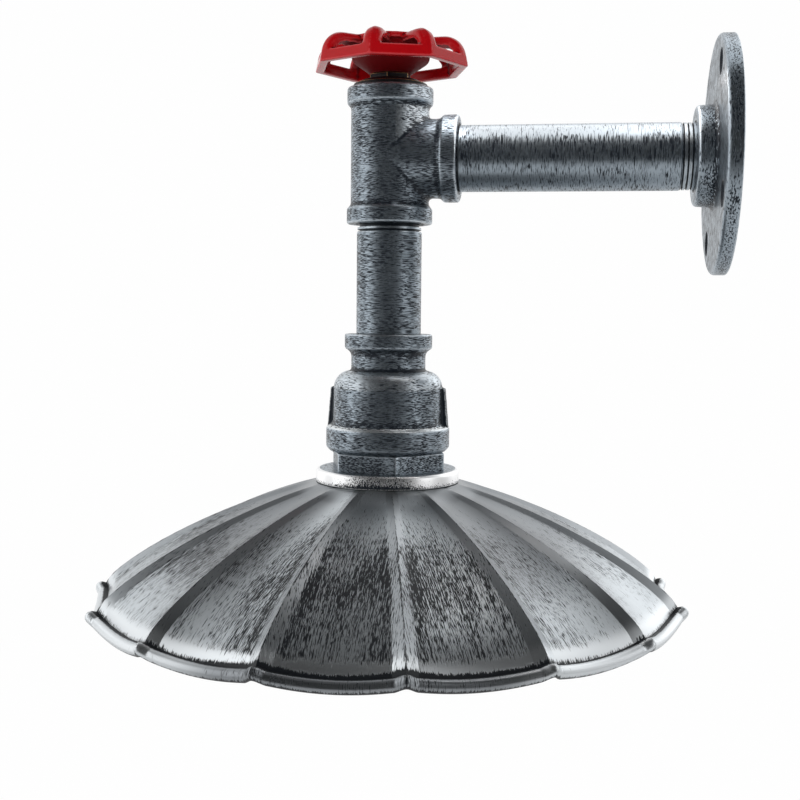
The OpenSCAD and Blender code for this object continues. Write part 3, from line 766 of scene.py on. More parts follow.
@dataclass(frozen=True)
class WornBlack(Finish):
    """Black paint worn through to the metal on the edges."""

    name: str
    metal: Colour
    paint: Colour = (0.006, 0.006, 0.007)
    wear: float = 0.56
    chips: float = 0.16
    fade: float = 0.1
    gloss: Span = (0.30, 0.48)
    sheen: float = 0.2
    relief: Span = (0.06, 0.4)

    def build(self) -> Material:
        """Builds paint with bare metal where the surface bends outwards."""
        material, graph, shader = shaded(self.name)
        place = graph.object_mm()
        chip = graph.plus(graph.attribute("bend"), graph.times(graph.noise(place, 0.9, 3.0), self.chips))
        bare = graph.fit(chip, self.wear, self.wear + self.fade)
        graph.feed(shader.inputs["Base Color"], graph.mix(bare, self.paint, self.metal))
        graph.feed(shader.inputs["Metallic"], bare)
        shader.inputs["Specular IOR Level"].default_value = self.sheen
        graph.feed(shader.inputs["Roughness"], graph.varied(graph.noise(place, 0.6, 3.0), *self.gloss))
        bumped(graph, shader, graph.noise(place, 1.1, 3.0), *self.relief)
        return material


@dataclass(frozen=True)
class TurnedMetal(Finish):
    """Bare metal with the fine rings of a lathe about Z."""

    name: str
    colour: Colour
    stain: Colour
    rough: float = 0.27
    rings: Spot = (0.06, 0.06, 5.0)
    relief: Span = (0.03, 0.4)

    def build(self) -> Material:
        """Builds metal with fine rings and a little tarnish."""
        material, graph, shader = shaded(self.name)
        rings = graph.noise(graph.object_mm(self.rings), 1.0, 3.0)
        dulling = graph.fit(graph.noise(graph.object_mm(), 0.22, 4.0, 0.6), 0.45, 0.75)
        graph.feed(shader.inputs["Base Color"], graph.mix(dulling, self.colour, self.stain))
        graph.feed(shader.inputs["Roughness"], graph.varied(rings, self.rough - 0.07, self.rough + 0.12))
        shader.inputs["Metallic"].default_value = 1.0
        bumped(graph, shader, rings, *self.relief)
        return material


@dataclass(frozen=True)
class Moulding(Finish):
    """Moulded plastic, rubber or ceramic with a faint mottle."""

    name: str
    colour: Colour
    tint: Colour
    rough: float = 0.45
    coat: float = 0.0
    relief: Span = (0.03, 0.3)

    def build(self) -> Material:
        """Builds a mottled, slightly uneven surface."""
        material, graph, shader = shaded(self.name)
        place = graph.object_mm()
        graph.feed(shader.inputs["Base Color"], graph.mix(graph.noise(place, 0.35, 3.0), self.colour, self.tint))
        uneven = graph.varied(graph.noise(place, 1.4, 2.0), self.rough - 0.08, self.rough + 0.1)
        graph.feed(shader.inputs["Roughness"], uneven)
        shader.inputs["Coat Weight"].default_value = self.coat
        bumped(graph, shader, graph.noise(place, 2.2, 2.0), *self.relief)
        return material


@dataclass(frozen=True)
class StripedSheath(Finish):
    """Wire insulation in two colours, in stripes along the wire."""

    name: str
    colour: Colour
    stripe: Colour
    bands: float = 0.17
    gloss: Span = (0.4, 0.55)

    def build(self) -> Material:
        """Builds stripes across Y with a faint mottle."""
        material, graph, shader = shaded(self.name)
        wave = graph.node("ShaderNodeTexWave", wave_type="BANDS", bands_direction="Y")
        graph.feed(wave.inputs["Vector"], graph.object_mm())
        wave.inputs["Scale"].default_value = self.bands
        striped = graph.fit(wave.outputs[1], 0.45, 0.55)
        graph.feed(shader.inputs["Base Color"], graph.mix(striped, self.colour, self.stripe))
        graph.feed(shader.inputs["Roughness"], graph.varied(graph.noise(graph.object_mm(), 1.4), *self.gloss))
        return material


SLOT_FINISHES: dict[str, Finish] = {
    "brushed_iron": BrushedPaint("brushed_iron", (0.6, 0.6, 2.4)),
    "shade_sheet": BrushedPaint("shade_sheet", (0.6, 0.6, 0.6), cover=0.6),
    # Red enamel: its own red, a darker red for tone and painted shade, and the paler red of its painted highlight.
    "red_enamel": Enamel("red_enamel", (0.45, 0.0042, 0.0075), (0.15, 0.002, 0.004), (0.72, 0.10, 0.11)),
    "brass": TurnedMetal("brass", (0.66, 0.45, 0.16), (0.34, 0.20, 0.07)),
    "zinc_steel": TurnedMetal("zinc_steel", (0.58, 0.59, 0.60), (0.36, 0.36, 0.35), 0.32),
    "black_iron": WornBlack("black_iron", (0.62, 0.40, 0.19)),
    "porcelain": Moulding("porcelain", (0.80, 0.78, 0.72), (0.72, 0.69, 0.62), 0.32, 0.3),
    "black_moulding": Moulding("black_moulding", (0.012, 0.011, 0.010), (0.025, 0.022, 0.020), 0.34),
    "white_moulding": Moulding("white_moulding", (0.78, 0.78, 0.75), (0.70, 0.70, 0.66), 0.42),
    "contact_bronze": TurnedMetal("contact_bronze", (0.70, 0.40, 0.21), (0.38, 0.19, 0.10)),
    "live_sheath": Moulding("live_sheath", (0.16, 0.055, 0.022), (0.12, 0.040, 0.016), 0.42),
    "switched_sheath": Moulding("switched_sheath", (0.012, 0.012, 0.012), (0.02, 0.02, 0.02), 0.42),
    "neutral_sheath": Moulding("neutral_sheath", (0.02, 0.08, 0.42), (0.016, 0.06, 0.33), 0.42),
    "earth_sheath": StripedSheath("earth_sheath", (0.13, 0.36, 0.03), (0.75, 0.55, 0.02)),
}
CAST_STROKES: Spot = (0.46, 0.46, 4.4)
UPRIGHT_PAINT = BrushedPaint("paint_upright", (0.36, 0.36, 4.4), cover=0.495)
CASTING_PAINT = BrushedPaint("paint_casting", CAST_STROKES, cover=0.495)
# Painted highlight: lighter, heavier silver across the bell's shoulder, heavier towards the top.
SHOULDER_HIGHLIGHT_PAINT = BrushedPaint(
    "paint_shoulder_highlight", CAST_STROKES, silver=(0.52, 0.57, 0.61), bands=((-94.5, 0.49), (-89.5, 0.56))
)
# Painted highlight: lighter silver, heavier towards the top, in the hollow between the tee's branch and run.
CROTCH_HIGHLIGHT_PAINT = BrushedPaint(
    "paint_crotch_highlight", CAST_STROKES, silver=(0.44, 0.49, 0.53), bands=((1.0, 0.495), (7.0, 0.515))
)
# Painted highlight: a bright, heavy silver line along the step above the reducer's mouth.
STEP_HIGHLIGHT_PAINT = BrushedPaint("paint_step_highlight", CAST_STROKES, cover=0.60, silver=(0.74, 0.78, 0.80))
# Painted light: the silver cover follows height, heaviest along the arm's top, heavy underneath and least round the
# middle.
ARM_PAINT = BrushedPaint(
    "paint_arm", (3.6, 0.32, 0.32), bands=((-4.0, 0.555), (-1.0, 0.485), (5.5, 0.485), (9.0, 0.60))
)
FLANGE_PAINT = BrushedPaint("paint_flange", (2.1, 1.7, 0.35), cover=0.52)
BARE_PAINT = BrushedPaint("paint_hole", (1.6, 1.6, 1.6), cover=0.20)
PLUG_PAINT = BrushedPaint("paint_plug", (0.8, 0.8, 4.0), cover=0.485)
CROWN_PAINT = CrownPaint(
    "paint_crown", (2.4, 2.4, 1.6), silver=(0.90, 0.905, 0.91), bright=(0.93, 0.93, 0.93),
    bands=((-133.4, 0.44), (-131.0, 0.70)),
)
CROWN_TOP_PAINT = BrushedPaint("paint_crown_top", (1.2, 1.2, 1.2), cover=0.56)
LINING_PAINT = BrushedPaint("shade_inside", (0.7, 0.7, 0.7), cover=0.675, silver=(0.50, 0.52, 0.54), patches=0.12)


def mesh_from(bm: BMesh, name: str) -> Mesh:
    """Writes a mesh to a new mesh block.

    Args:
        bm: The mesh, which is freed.
        name: The block's name.

    Returns:
        The block.
    """
    mesh = bpy.data.meshes.new(name)
    bm.to_mesh(mesh)
    bm.free()
    return mesh


def linked(name: str, data: Any) -> Object:
    """Makes an object and links it to the scene.

    Args:
        name: The object's name.
        data: Its mesh, camera or lamp.

    Returns:
        The object.
    """
    made = bpy.data.objects.new(name, data)
    bpy.context.scene.collection.objects.link(made)
    return made


def eased(bm: BMesh, chosen: Sequence[Any], size: float, segments: int, kind: Easing) -> BMesh:
    """Rounds edges or corners of a mesh.

    Args:
        bm: The mesh.
        chosen: The edges or corners.
        size: How far the rounding reaches.
        segments: Segments in the rounding.
        kind: What is rounded.

    Returns:
        The same mesh.
    """
    bmesh.ops.bevel(
        bm, geom=chosen, offset=size, offset_type="OFFSET", affect=kind.value,
        segments=segments, profile=0.5, material=-1, clamp_overlap=True,
    )
    return bm


def hexagon(flats: float, low: float, top: float, turn: float = 0.0) -> BMesh:
    """Makes an upright hexagonal block.

    Args:
        flats: Width across the flats.
        low: Height of its lower end.
        top: Height of its upper end.
        turn: Angle about Z, in degrees.

    Returns:
        The block, with sharp edges.
    """
    bm = bmesh.new()
    radius = flats / 2 / math.cos(math.pi / 6)
    middle = Matrix.Translation((0, 0, (top + low) / 2))
    bmesh.ops.create_cone(
        bm, cap_ends=True, segments=6, radius1=radius, radius2=radius, depth=top - low,
        matrix=middle @ Matrix.Rotation(math.radians(turn), 4, "Z"),
    )
    return bm


def repeated(bm: BMesh, count: int) -> None:
    """Repeats a whole mesh evenly round Z.

    Args:
        bm: The mesh.
        count: How many there are in a full turn, the first among them.
    """
    bmesh.ops.spin(
        bm, geom=bm.verts[:] + bm.edges[:] + bm.faces[:], cent=(0, 0, 0), axis=(0, 0, 1), dvec=(0, 0, 0),
        angle=FULL_TURN * (count - 1) / count, steps=count - 1, use_duplicate=True,
    )


def turned(corners: Sequence[Corner], steps: int = 112, fine: float = 1.4, arc: int = 5) -> BMesh:
    """Turns a closed outline about Z.

    Args:
        corners: The outline's corners in order, each with its rounding.
        steps: Facets round a full turn.
        fine: Longest edge left along the outline.
        arc: Segments in each rounding.

    Returns:
        The turned mesh, closed.
    """
    bm = bmesh.new()
    verts = [bm.verts.new((c.r, 0, c.z)) for c in corners]
    for a, b in zip(verts, verts[1:] + verts[:1]):
        if a.co.x > ON_AXIS or b.co.x > ON_AXIS:
            bm.edges.new((a, b))
    for size in sorted({c.round for c in corners if c.round}):
        chosen = [v for v, c in zip(verts, corners) if c.round == size]
        eased(bm, chosen, size, arc, Easing.CORNERS)
    for edge in list(bm.edges):
        cuts = int(edge.calc_length() / fine)
        if cuts:
            bmesh.ops.subdivide_edges(bm, edges=[edge], cuts=cuts)
    bmesh.ops.spin(
        bm, geom=bm.verts[:] + bm.edges[:], cent=(0, 0, 0), axis=(0, 0, 1), dvec=(0, 0, 0),
        angle=FULL_TURN, steps=steps, use_merge=True,
    )
    bmesh.ops.remove_doubles(bm, verts=bm.verts, dist=WELD)
    bmesh.ops.recalc_face_normals(bm, faces=bm.faces)
    return bm


def joined(*meshes: BMesh) -> BMesh:
    """Puts several meshes into one.

    Args:
        meshes: The meshes, which are freed.

    Returns:
        One mesh with all their shells.
    """
    whole = bmesh.new()
    for bm in meshes:
        carrier = mesh_from(bm, "carrier")
        whole.from_mesh(carrier)
        bpy.data.meshes.remove(carrier)
    return whole


def moved(bm: BMesh, matrix: Matrix) -> BMesh:
    """Moves a whole mesh and gives it back."""
    bmesh.ops.transform(bm, matrix=matrix, verts=bm.verts)
    return bm


def marked(bm: BMesh, chosen: Callable[[Vector], bool], index: int) -> BMesh:
    """Gives another finish to some faces of a mesh.

    Args:
        bm: The mesh.
        chosen: Tells from a face's middle whether it gets that finish.
        index: The finish's place in the list of finishes.

    Returns:
        The same mesh.
    """
    for face in bm.faces:
        if chosen(face.calc_center_median()):
            face.material_index = index
    return bm


def through_modifiers(bm: BMesh, add: Callable[[Object], None]) -> BMesh:
    """Runs a mesh through modifiers.

    Args:
        bm: The mesh, which is freed.
        add: Adds the modifiers to an object that carries the mesh.

    Returns:
        The mesh that comes out.
    """
    mesh = mesh_from(bm, "worked")
    carrier = linked("worked", mesh)
    add(carrier)
    result = bmesh.new()
    result.from_mesh(carrier.evaluated_get(bpy.context.evaluated_depsgraph_get()).to_mesh())
    bpy.data.objects.remove(carrier)
    bpy.data.meshes.remove(mesh)
    return result


def fused(bm: BMesh, voxel: float, passes: int) -> BMesh:
    """Fuses overlapping shells into one casting with soft corners.

    Args:
        bm: The shells, which are freed.
        voxel: Grid that the casting is rebuilt on.
        passes: Smoothing passes, which set how soft the corners are.

    Returns:
        The casting's mesh.
    """

    def add(carrier: Object) -> None:
        """Adds the rebuild and the smoothing."""
        remesh = carrier.modifiers.new("fuse", "REMESH")
        remesh.mode = "VOXEL"
        remesh.voxel_size = voxel
        smooth = carrier.modifiers.new("soften", "SMOOTH")
        smooth.factor = 0.5
        smooth.iterations = passes

    return through_modifiers(bm, add)


def bored(bm: BMesh, *cutters: BMesh) -> BMesh:
    """Cuts bores out of a mesh.

    Args:
        bm: The mesh to cut, which is freed.
        cutters: Closed shapes to take away, which are freed.

    Returns:
        The cut mesh.
    """
    for cutter in cutters:
        mesh = mesh_from(cutter, "cutter")
        tool = linked("cutter", mesh)

        def add(carrier: Object, tool: Object = tool) -> None:
            """Adds the cut."""
            cut = carrier.modifiers.new("bore", "BOOLEAN")
            cut.operation = "DIFFERENCE"
            cut.solver = "EXACT"
            cut.object = tool

        bm = through_modifiers(bm, add)
        bpy.data.objects.remove(tool)
        bpy.data.meshes.remove(mesh)
    return bm


def column(rows: Any, name: str, wide: int = 1, kind: type = np.float32) -> np.ndarray:
    """Reads one property of all rows of a mesh.

    Args:
        rows: The mesh's vertices, edges, faces or face corners.
        name: The property.
        wide: Values in each row.
        kind: Type of a value.

    Returns:
        One line of values for each row, or one value for each where a row has one.
    """
    values = np.empty(len(rows) * wide, kind)
    rows.foreach_get(name, values)
    return values.reshape(-1, wide) if wide > 1 else values


def mark_bend(mesh: Mesh, spread: int) -> None:
    """Writes how sharply a mesh bends outwards, in 1/mm, as its "bend" attribute.

    Args:
        mesh: The finished mesh, in metres.
        spread: Passes that spread the bend over neighbours.
    """
    count, faces = len(mesh.vertices), len(mesh.polygons)
    co = column(mesh.vertices, "co", 3).astype(float) / MM
    edges = column(mesh.edges, "vertices", 2, np.int32)
    normals, centres = column(mesh.polygons, "normal", 3), column(mesh.polygons, "center", 3)
    area, total = column(mesh.polygons, "area"), column(mesh.polygons, "loop_total", kind=np.int32)
    loop_vert = column(mesh.loops, "vertex_index", kind=np.int32)
    loop_edge = column(mesh.loops, "edge_index", kind=np.int32)
    loop_face = np.repeat(np.arange(faces), total)
    room = np.zeros(count)
    np.add.at(room, loop_vert, (area / total / MM**2)[loop_face])
    order = np.argsort(loop_edge, kind="stable")
    ranked = loop_edge[order]
    pair = np.flatnonzero(ranked[1:] == ranked[:-1])
    one, two, edge = loop_face[order[pair]], loop_face[order[pair + 1]], ranked[pair]
    angle = np.arccos(np.clip(np.einsum("ij,ij->i", normals[one], normals[two]), -1, 1))
    outward = np.where(np.einsum("ij,ij->i", normals[one], centres[two] - centres[one]) < 0, 1.0, -1.0)
    length = np.linalg.norm(co[edges[edge, 0]] - co[edges[edge, 1]], axis=1)
    bend = np.zeros(count)
    # Mean bend: half of an edge's angle, shared by its two ends.
    for end in (0, 1):
        np.add.at(bend, edges[edge, end], angle * outward * length / 4)
    bend = np.clip(bend / np.maximum(room, 1e-9), -BEND_LIMIT, BEND_LIMIT)
    near = np.bincount(edges.ravel(), minlength=count)
    for _ in range(spread):
        around = np.zeros(count)
        np.add.at(around, edges[:, 0], bend[edges[:, 1]])
        np.add.at(around, edges[:, 1], bend[edges[:, 0]])
        bend = (bend + around / np.maximum(near, 1)) / 2
    layer = mesh.attributes.new("bend", "FLOAT", "POINT")
    layer.data.foreach_set("value", bend.astype(np.float32))


def finished(
    bm: BMesh, name: str, stands_for: Sequence[str], body: Body, finishes: Sequence[Finish],
    placing: Placing, crease: float = 40.0, spread: int = 2,
) -> Object:
    """Makes a piece from a mesh and ties it to the frame.

    Args:
        bm: The mesh in millimetres about Z, which is freed.
        name: The piece's name.
        stands_for: CAD nodes that it replaces.
        body: Body that it rides on.
        finishes: Its finishes, by material index.
        placing: Where the drawn shape stands.
        crease: Angle in degrees past which an edge stays sharp.
        spread: Passes that spread the edge wear.

    Returns:
        The piece.
    """
    moved(bm, placing.matrix())
    mesh = mesh_from(bm, name)
    mesh.shade_smooth()
    mesh.set_sharp_from_angle(angle=math.radians(crease))
    mark_bend(mesh, spread)
    for finish in finishes:
        mesh.materials.append(finish.material())
    piece = linked(name, mesh)
    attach(piece, body.value)
    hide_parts(*stands_for)
    LOG.info("%s: %d faces", name, len(mesh.polygons))
    return piece


@dataclass
class PipeRun:
    """The arm and drop pipes."""

    skin_r: float = 13.45
    crest_r: float = 13.23
    bore_r: float = 10.85
    groove: float = 0.95
    floor_share: float = 0.6
    groove_zone: Span = (0.5, 0.1)
    arm_ends: Span = (3.5, 119.2)
    arm_crests: Span = (19.0, 107.0)
    arm_skin: Span = (19.3, 106.6)
    drop_ends: Span = (-83.9, -14.6)
    drop_crests: Span = (-72.2, -29.8)
    drop_skin: Span = (-71.6, -30.1)
    arm_grooves: tuple[Span, ...] = ((14.85, 0.35), (16.65, 0.35), (18.45, 0.35))
    drop_grooves: tuple[Span, ...] = ((-29.35, 0.40), (-27.35, 0.72))

    def grooves(self, rows: Sequence[Span]) -> list[Corner]:
        """Outlines thread grooves.

        Args:
            rows: Height and half width of each groove, upwards.

        Returns:
            Their corners, upwards.
        """
        deep = self.crest_r - self.groove
        corners: list[Corner] = []
        for z, half in rows:
            floor = half * self.floor_share
            corners += [
                Corner(self.crest_r, z - half), Corner(deep, z - floor),
                Corner(deep, z + floor), Corner(self.crest_r, z + half),
            ]
        return corners

    def in_groove(self, middle: Vector) -> bool:
        """Tells whether a face lies in a thread groove."""
        return self.bore_r + self.groove_zone[0] < middle.xy.length < self.crest_r - self.groove_zone[1]

    def build(self) -> None:
        """Builds both pipes."""
        bore, crest, skin = self.bore_r, self.crest_r, self.skin_r
        arm = [
            Corner(bore, self.arm_ends[0]), Corner(crest, self.arm_ends[0]), *self.grooves(self.arm_grooves),
            Corner(crest, self.arm_crests[0]), Corner(skin, self.arm_skin[0], 0.15),
            Corner(skin, self.arm_skin[1], 0.2), Corner(crest, self.arm_crests[1]),
            Corner(crest, self.arm_ends[1]), Corner(bore, self.arm_ends[1]),
        ]
        drop = [
            Corner(bore, self.drop_ends[0]), Corner(crest, self.drop_ends[0]), Corner(crest, self.drop_crests[0]),
            Corner(skin, self.drop_skin[0], 0.1), Corner(skin, self.drop_skin[1], 0.2),
            Corner(crest, self.drop_crests[1]), *self.grooves(self.drop_grooves),
            Corner(crest, self.drop_ends[1]), Corner(bore, self.drop_ends[1]),
        ]
        for outline, name, node, brushed, placing in (
            (arm, "arm_tube", "arm_pipe", ARM_PAINT, Placing.ARM),
            (drop, "drop_tube", "drop_pipe", UPRIGHT_PAINT, Placing.LAMP),
        ):
            paints = [brushed, BARE_PAINT]
            tube = marked(turned(outline), self.in_groove, paints.index(BARE_PAINT))
            finished(tube, name, [node], Body.LAMP, paints, placing)


@dataclass
class Flange:
    """The wall flange, drawn with its back at height 0."""

    plate_r: float = 47.0
    plate_t: float = 6.0
    hub_r: float = 19.75
    hub_len: float = 13.5
    socket_r: float = 13.28
    bore_r: float = 10.85
    rear: float = 3.0
    hole_r: float = 4.0
    hole_circle_r: float = 38.0
    hole_turn: float = 28.0
    holes: int = 4
    lip: float = 1.3
    lip_margin: float = 0.02
    mouth: float = 1.1
    mouth_margin: float = 0.05
    draft: float = 0.4

    def in_hole(self, middle: Vector) -> bool:
        """Tells whether a face lies in a screw hole or the hub's socket.

        Args:
            middle: The face's middle.

        Returns:
            Whether it does.
        """
        first, step = math.radians(self.hole_turn), FULL_TURN / self.holes
        nearest = round((math.atan2(middle.y, middle.x) + first) / step) * step - first
        axis = self.hole_circle_r * Vector((math.cos(nearest), math.sin(nearest)))
        in_screw_hole = (middle.xy - axis).length < self.hole_r + self.lip - self.lip_margin
        return in_screw_hole or middle.xy.length < self.socket_r + self.mouth - self.mouth_margin

    def build(self) -> None:
        """Builds the flange with its four screw holes."""
        outline = [
            Corner(self.bore_r, 0, 0.4), Corner(self.plate_r, 0, 0.6), Corner(self.plate_r, self.plate_t, 1.6),
            Corner(self.hub_r + self.draft, self.plate_t, 1.8), Corner(self.hub_r, self.hub_len, 1.3),
            Corner(self.socket_r + self.mouth, self.hub_len, 0.3), Corner(self.socket_r, self.hub_len - self.mouth),
            Corner(self.socket_r, self.rear), Corner(self.bore_r, self.rear),
        ]
        plate = turned(outline, steps=144)
        lip_r = self.hole_r + self.lip
        hole = [
            Corner(0, -PAST), Corner(lip_r, -PAST), Corner(lip_r, 0), Corner(self.hole_r, self.lip),
            Corner(self.hole_r, self.plate_t - self.lip), Corner(lip_r, self.plate_t),
            Corner(lip_r, self.plate_t + PAST), Corner(0, self.plate_t + PAST),
        ]
        cutters = []
        for index in range(self.holes):
            turn = math.radians(index * 360 / self.holes - self.hole_turn)
            place = Matrix.Rotation(turn, 4, "Z") @ Matrix.Translation((self.hole_circle_r, 0, 0))
            cutters.append(moved(turned(hole, steps=40, fine=UNCUT), place))
        paints = [FLANGE_PAINT, BARE_PAINT]
        plate = marked(bored(plate, *cutters), self.in_hole, paints.index(BARE_PAINT))
        finished(plate, "flange_casting", ["wall_flange"], Body.FLANGE, paints, Placing.ARM)


@dataclass
class Tee:
    """The tee fitting, with its run along Z and its branch towards the wall."""

    rise: float = 28.5
    drop: float = 26.6
    branch: float = 28.8
    body_r: float = 16.1
    collar_r: float = 17.7
    collar_len: float = 6.4
    socket_r: float = 13.28
    passage_r: float = 12.0
    socket: float = 12.5
    step: float = 0.9
    edge: float = 0.65
    mouth: float = 1.4
    mouth_margin: float = 0.03
    voxel: float = 0.45
    passes: int = 4
    fillet_x: Span = (9.0, 20.5)
    fillet_z: float = 20.0
    fillet_clear: Span = (13.0, 22.0)
    fillet_passes: tuple[tuple[float, int], ...] = ((17.0, 12), (10.5, 18))
    socket_from: float = 18.0
    crotch_x: Span = (4.6, 19.5)
    crotch_z: Span = (1.0, 20.0)
    crotch_clear: float = 0.3

    def in_fillet(self, spot: Vector, deep: float) -> bool:
        """Tells whether a spot lies where the branch meets the run.

        Args:
            spot: The spot.
            deep: How far the zone reaches to each side of the arm's axis.

        Returns:
            Whether it does.
        """
        clear = spot.yz.length > self.fillet_clear[0] and spot.xy.length < self.fillet_clear[1]
        inside = self.fillet_x[0] < spot.x < self.fillet_x[1] and abs(spot.z) < self.fillet_z
        return clear and inside and abs(spot.y) < deep

    def in_socket(self, middle: Vector) -> bool:
        """Tells whether a face lies in a screwed socket.

        Args:
            middle: The face's middle.

        Returns:
            Whether it does.
        """
        inside = self.socket_r + self.mouth - self.mouth_margin
        in_branch = middle.x > self.socket_from and middle.yz.length < inside
        return in_branch or (abs(middle.z) > self.socket_from and middle.xy.length < inside)

    def in_crotch(self, middle: Vector) -> bool:
        """Tells whether a face lies in the upper hollow between branch and run.

        Args:
            middle: The face's middle.

        Returns:
            Whether it does.
        """
        near = self.crotch_x[0] < middle.x < self.crotch_x[1] and self.crotch_z[0] < middle.z < self.crotch_z[1]
        return near and middle.yz.length > self.body_r + self.crotch_clear

    def limb(self, end: float) -> list[Corner]:
        """Outlines one limb.

        Args:
            end: Height of its open end.

        Returns:
            The corners from its foot to the axis at its end.
        """
        sign = math.copysign(1.0, end)
        back = end - sign * self.collar_len
        return [
            Corner(self.body_r, back - sign * self.step, 1.2), Corner(self.collar_r, back, self.edge),
            Corner(self.collar_r, end, self.edge * 0.8), Corner(0, end),
        ]

    def socket_cutter(self, end: float) -> BMesh:
        """Makes the cutter of one screwed socket.

        Args:
            end: Height of the open end.

        Returns:
            The cutter, with a chamfered mouth.
        """
        sign = math.copysign(1.0, end)
        past, floor, mouth_r = end + sign * PAST, end - sign * self.socket, self.socket_r + self.mouth
        return turned([
            Corner(0, past), Corner(mouth_r, past), Corner(mouth_r, end),
            Corner(self.socket_r, end - sign * self.mouth), Corner(self.socket_r, floor),
            Corner(self.passage_r, floor), Corner(self.passage_r, 0), Corner(0, 0),
        ], steps=96, fine=UNCUT)

    def build(self) -> None:
        """Builds the fitting with a soft fillet where the branch meets the run."""
        run = turned([*reversed(self.limb(-self.drop)), *self.limb(self.rise)], fine=2)
        aside = Matrix.Rotation(math.pi / 2, 4, "Y")
        arm = moved(turned([Corner(0, 0), Corner(self.body_r, 0), *self.limb(self.branch)], fine=2), aside)
        casting = fused(joined(run, arm), self.voxel, self.passes)
        for deep, passes in self.fillet_passes:
            corner = [v for v in casting.verts if self.in_fillet(v.co, deep)]
            for _ in range(passes):
                bmesh.ops.smooth_vert(
                    casting, verts=corner, factor=0.5, use_axis_x=True, use_axis_y=True, use_axis_z=True
                )
        branch = moved(self.socket_cutter(self.branch), aside)
        casting = bored(casting, self.socket_cutter(-self.drop), self.socket_cutter(self.rise), branch)
        # The crotch between branch and run takes a painted highlight.
        paints = [CASTING_PAINT, BARE_PAINT, CROTCH_HIGHLIGHT_PAINT]
        marked(casting, self.in_socket, paints.index(BARE_PAINT))
        marked(casting, self.in_crotch, paints.index(CROTCH_HIGHLIGHT_PAINT))
        finished(casting, "tee_casting", ["tee"], Body.LAMP, paints, Placing.LAMP, crease=50)


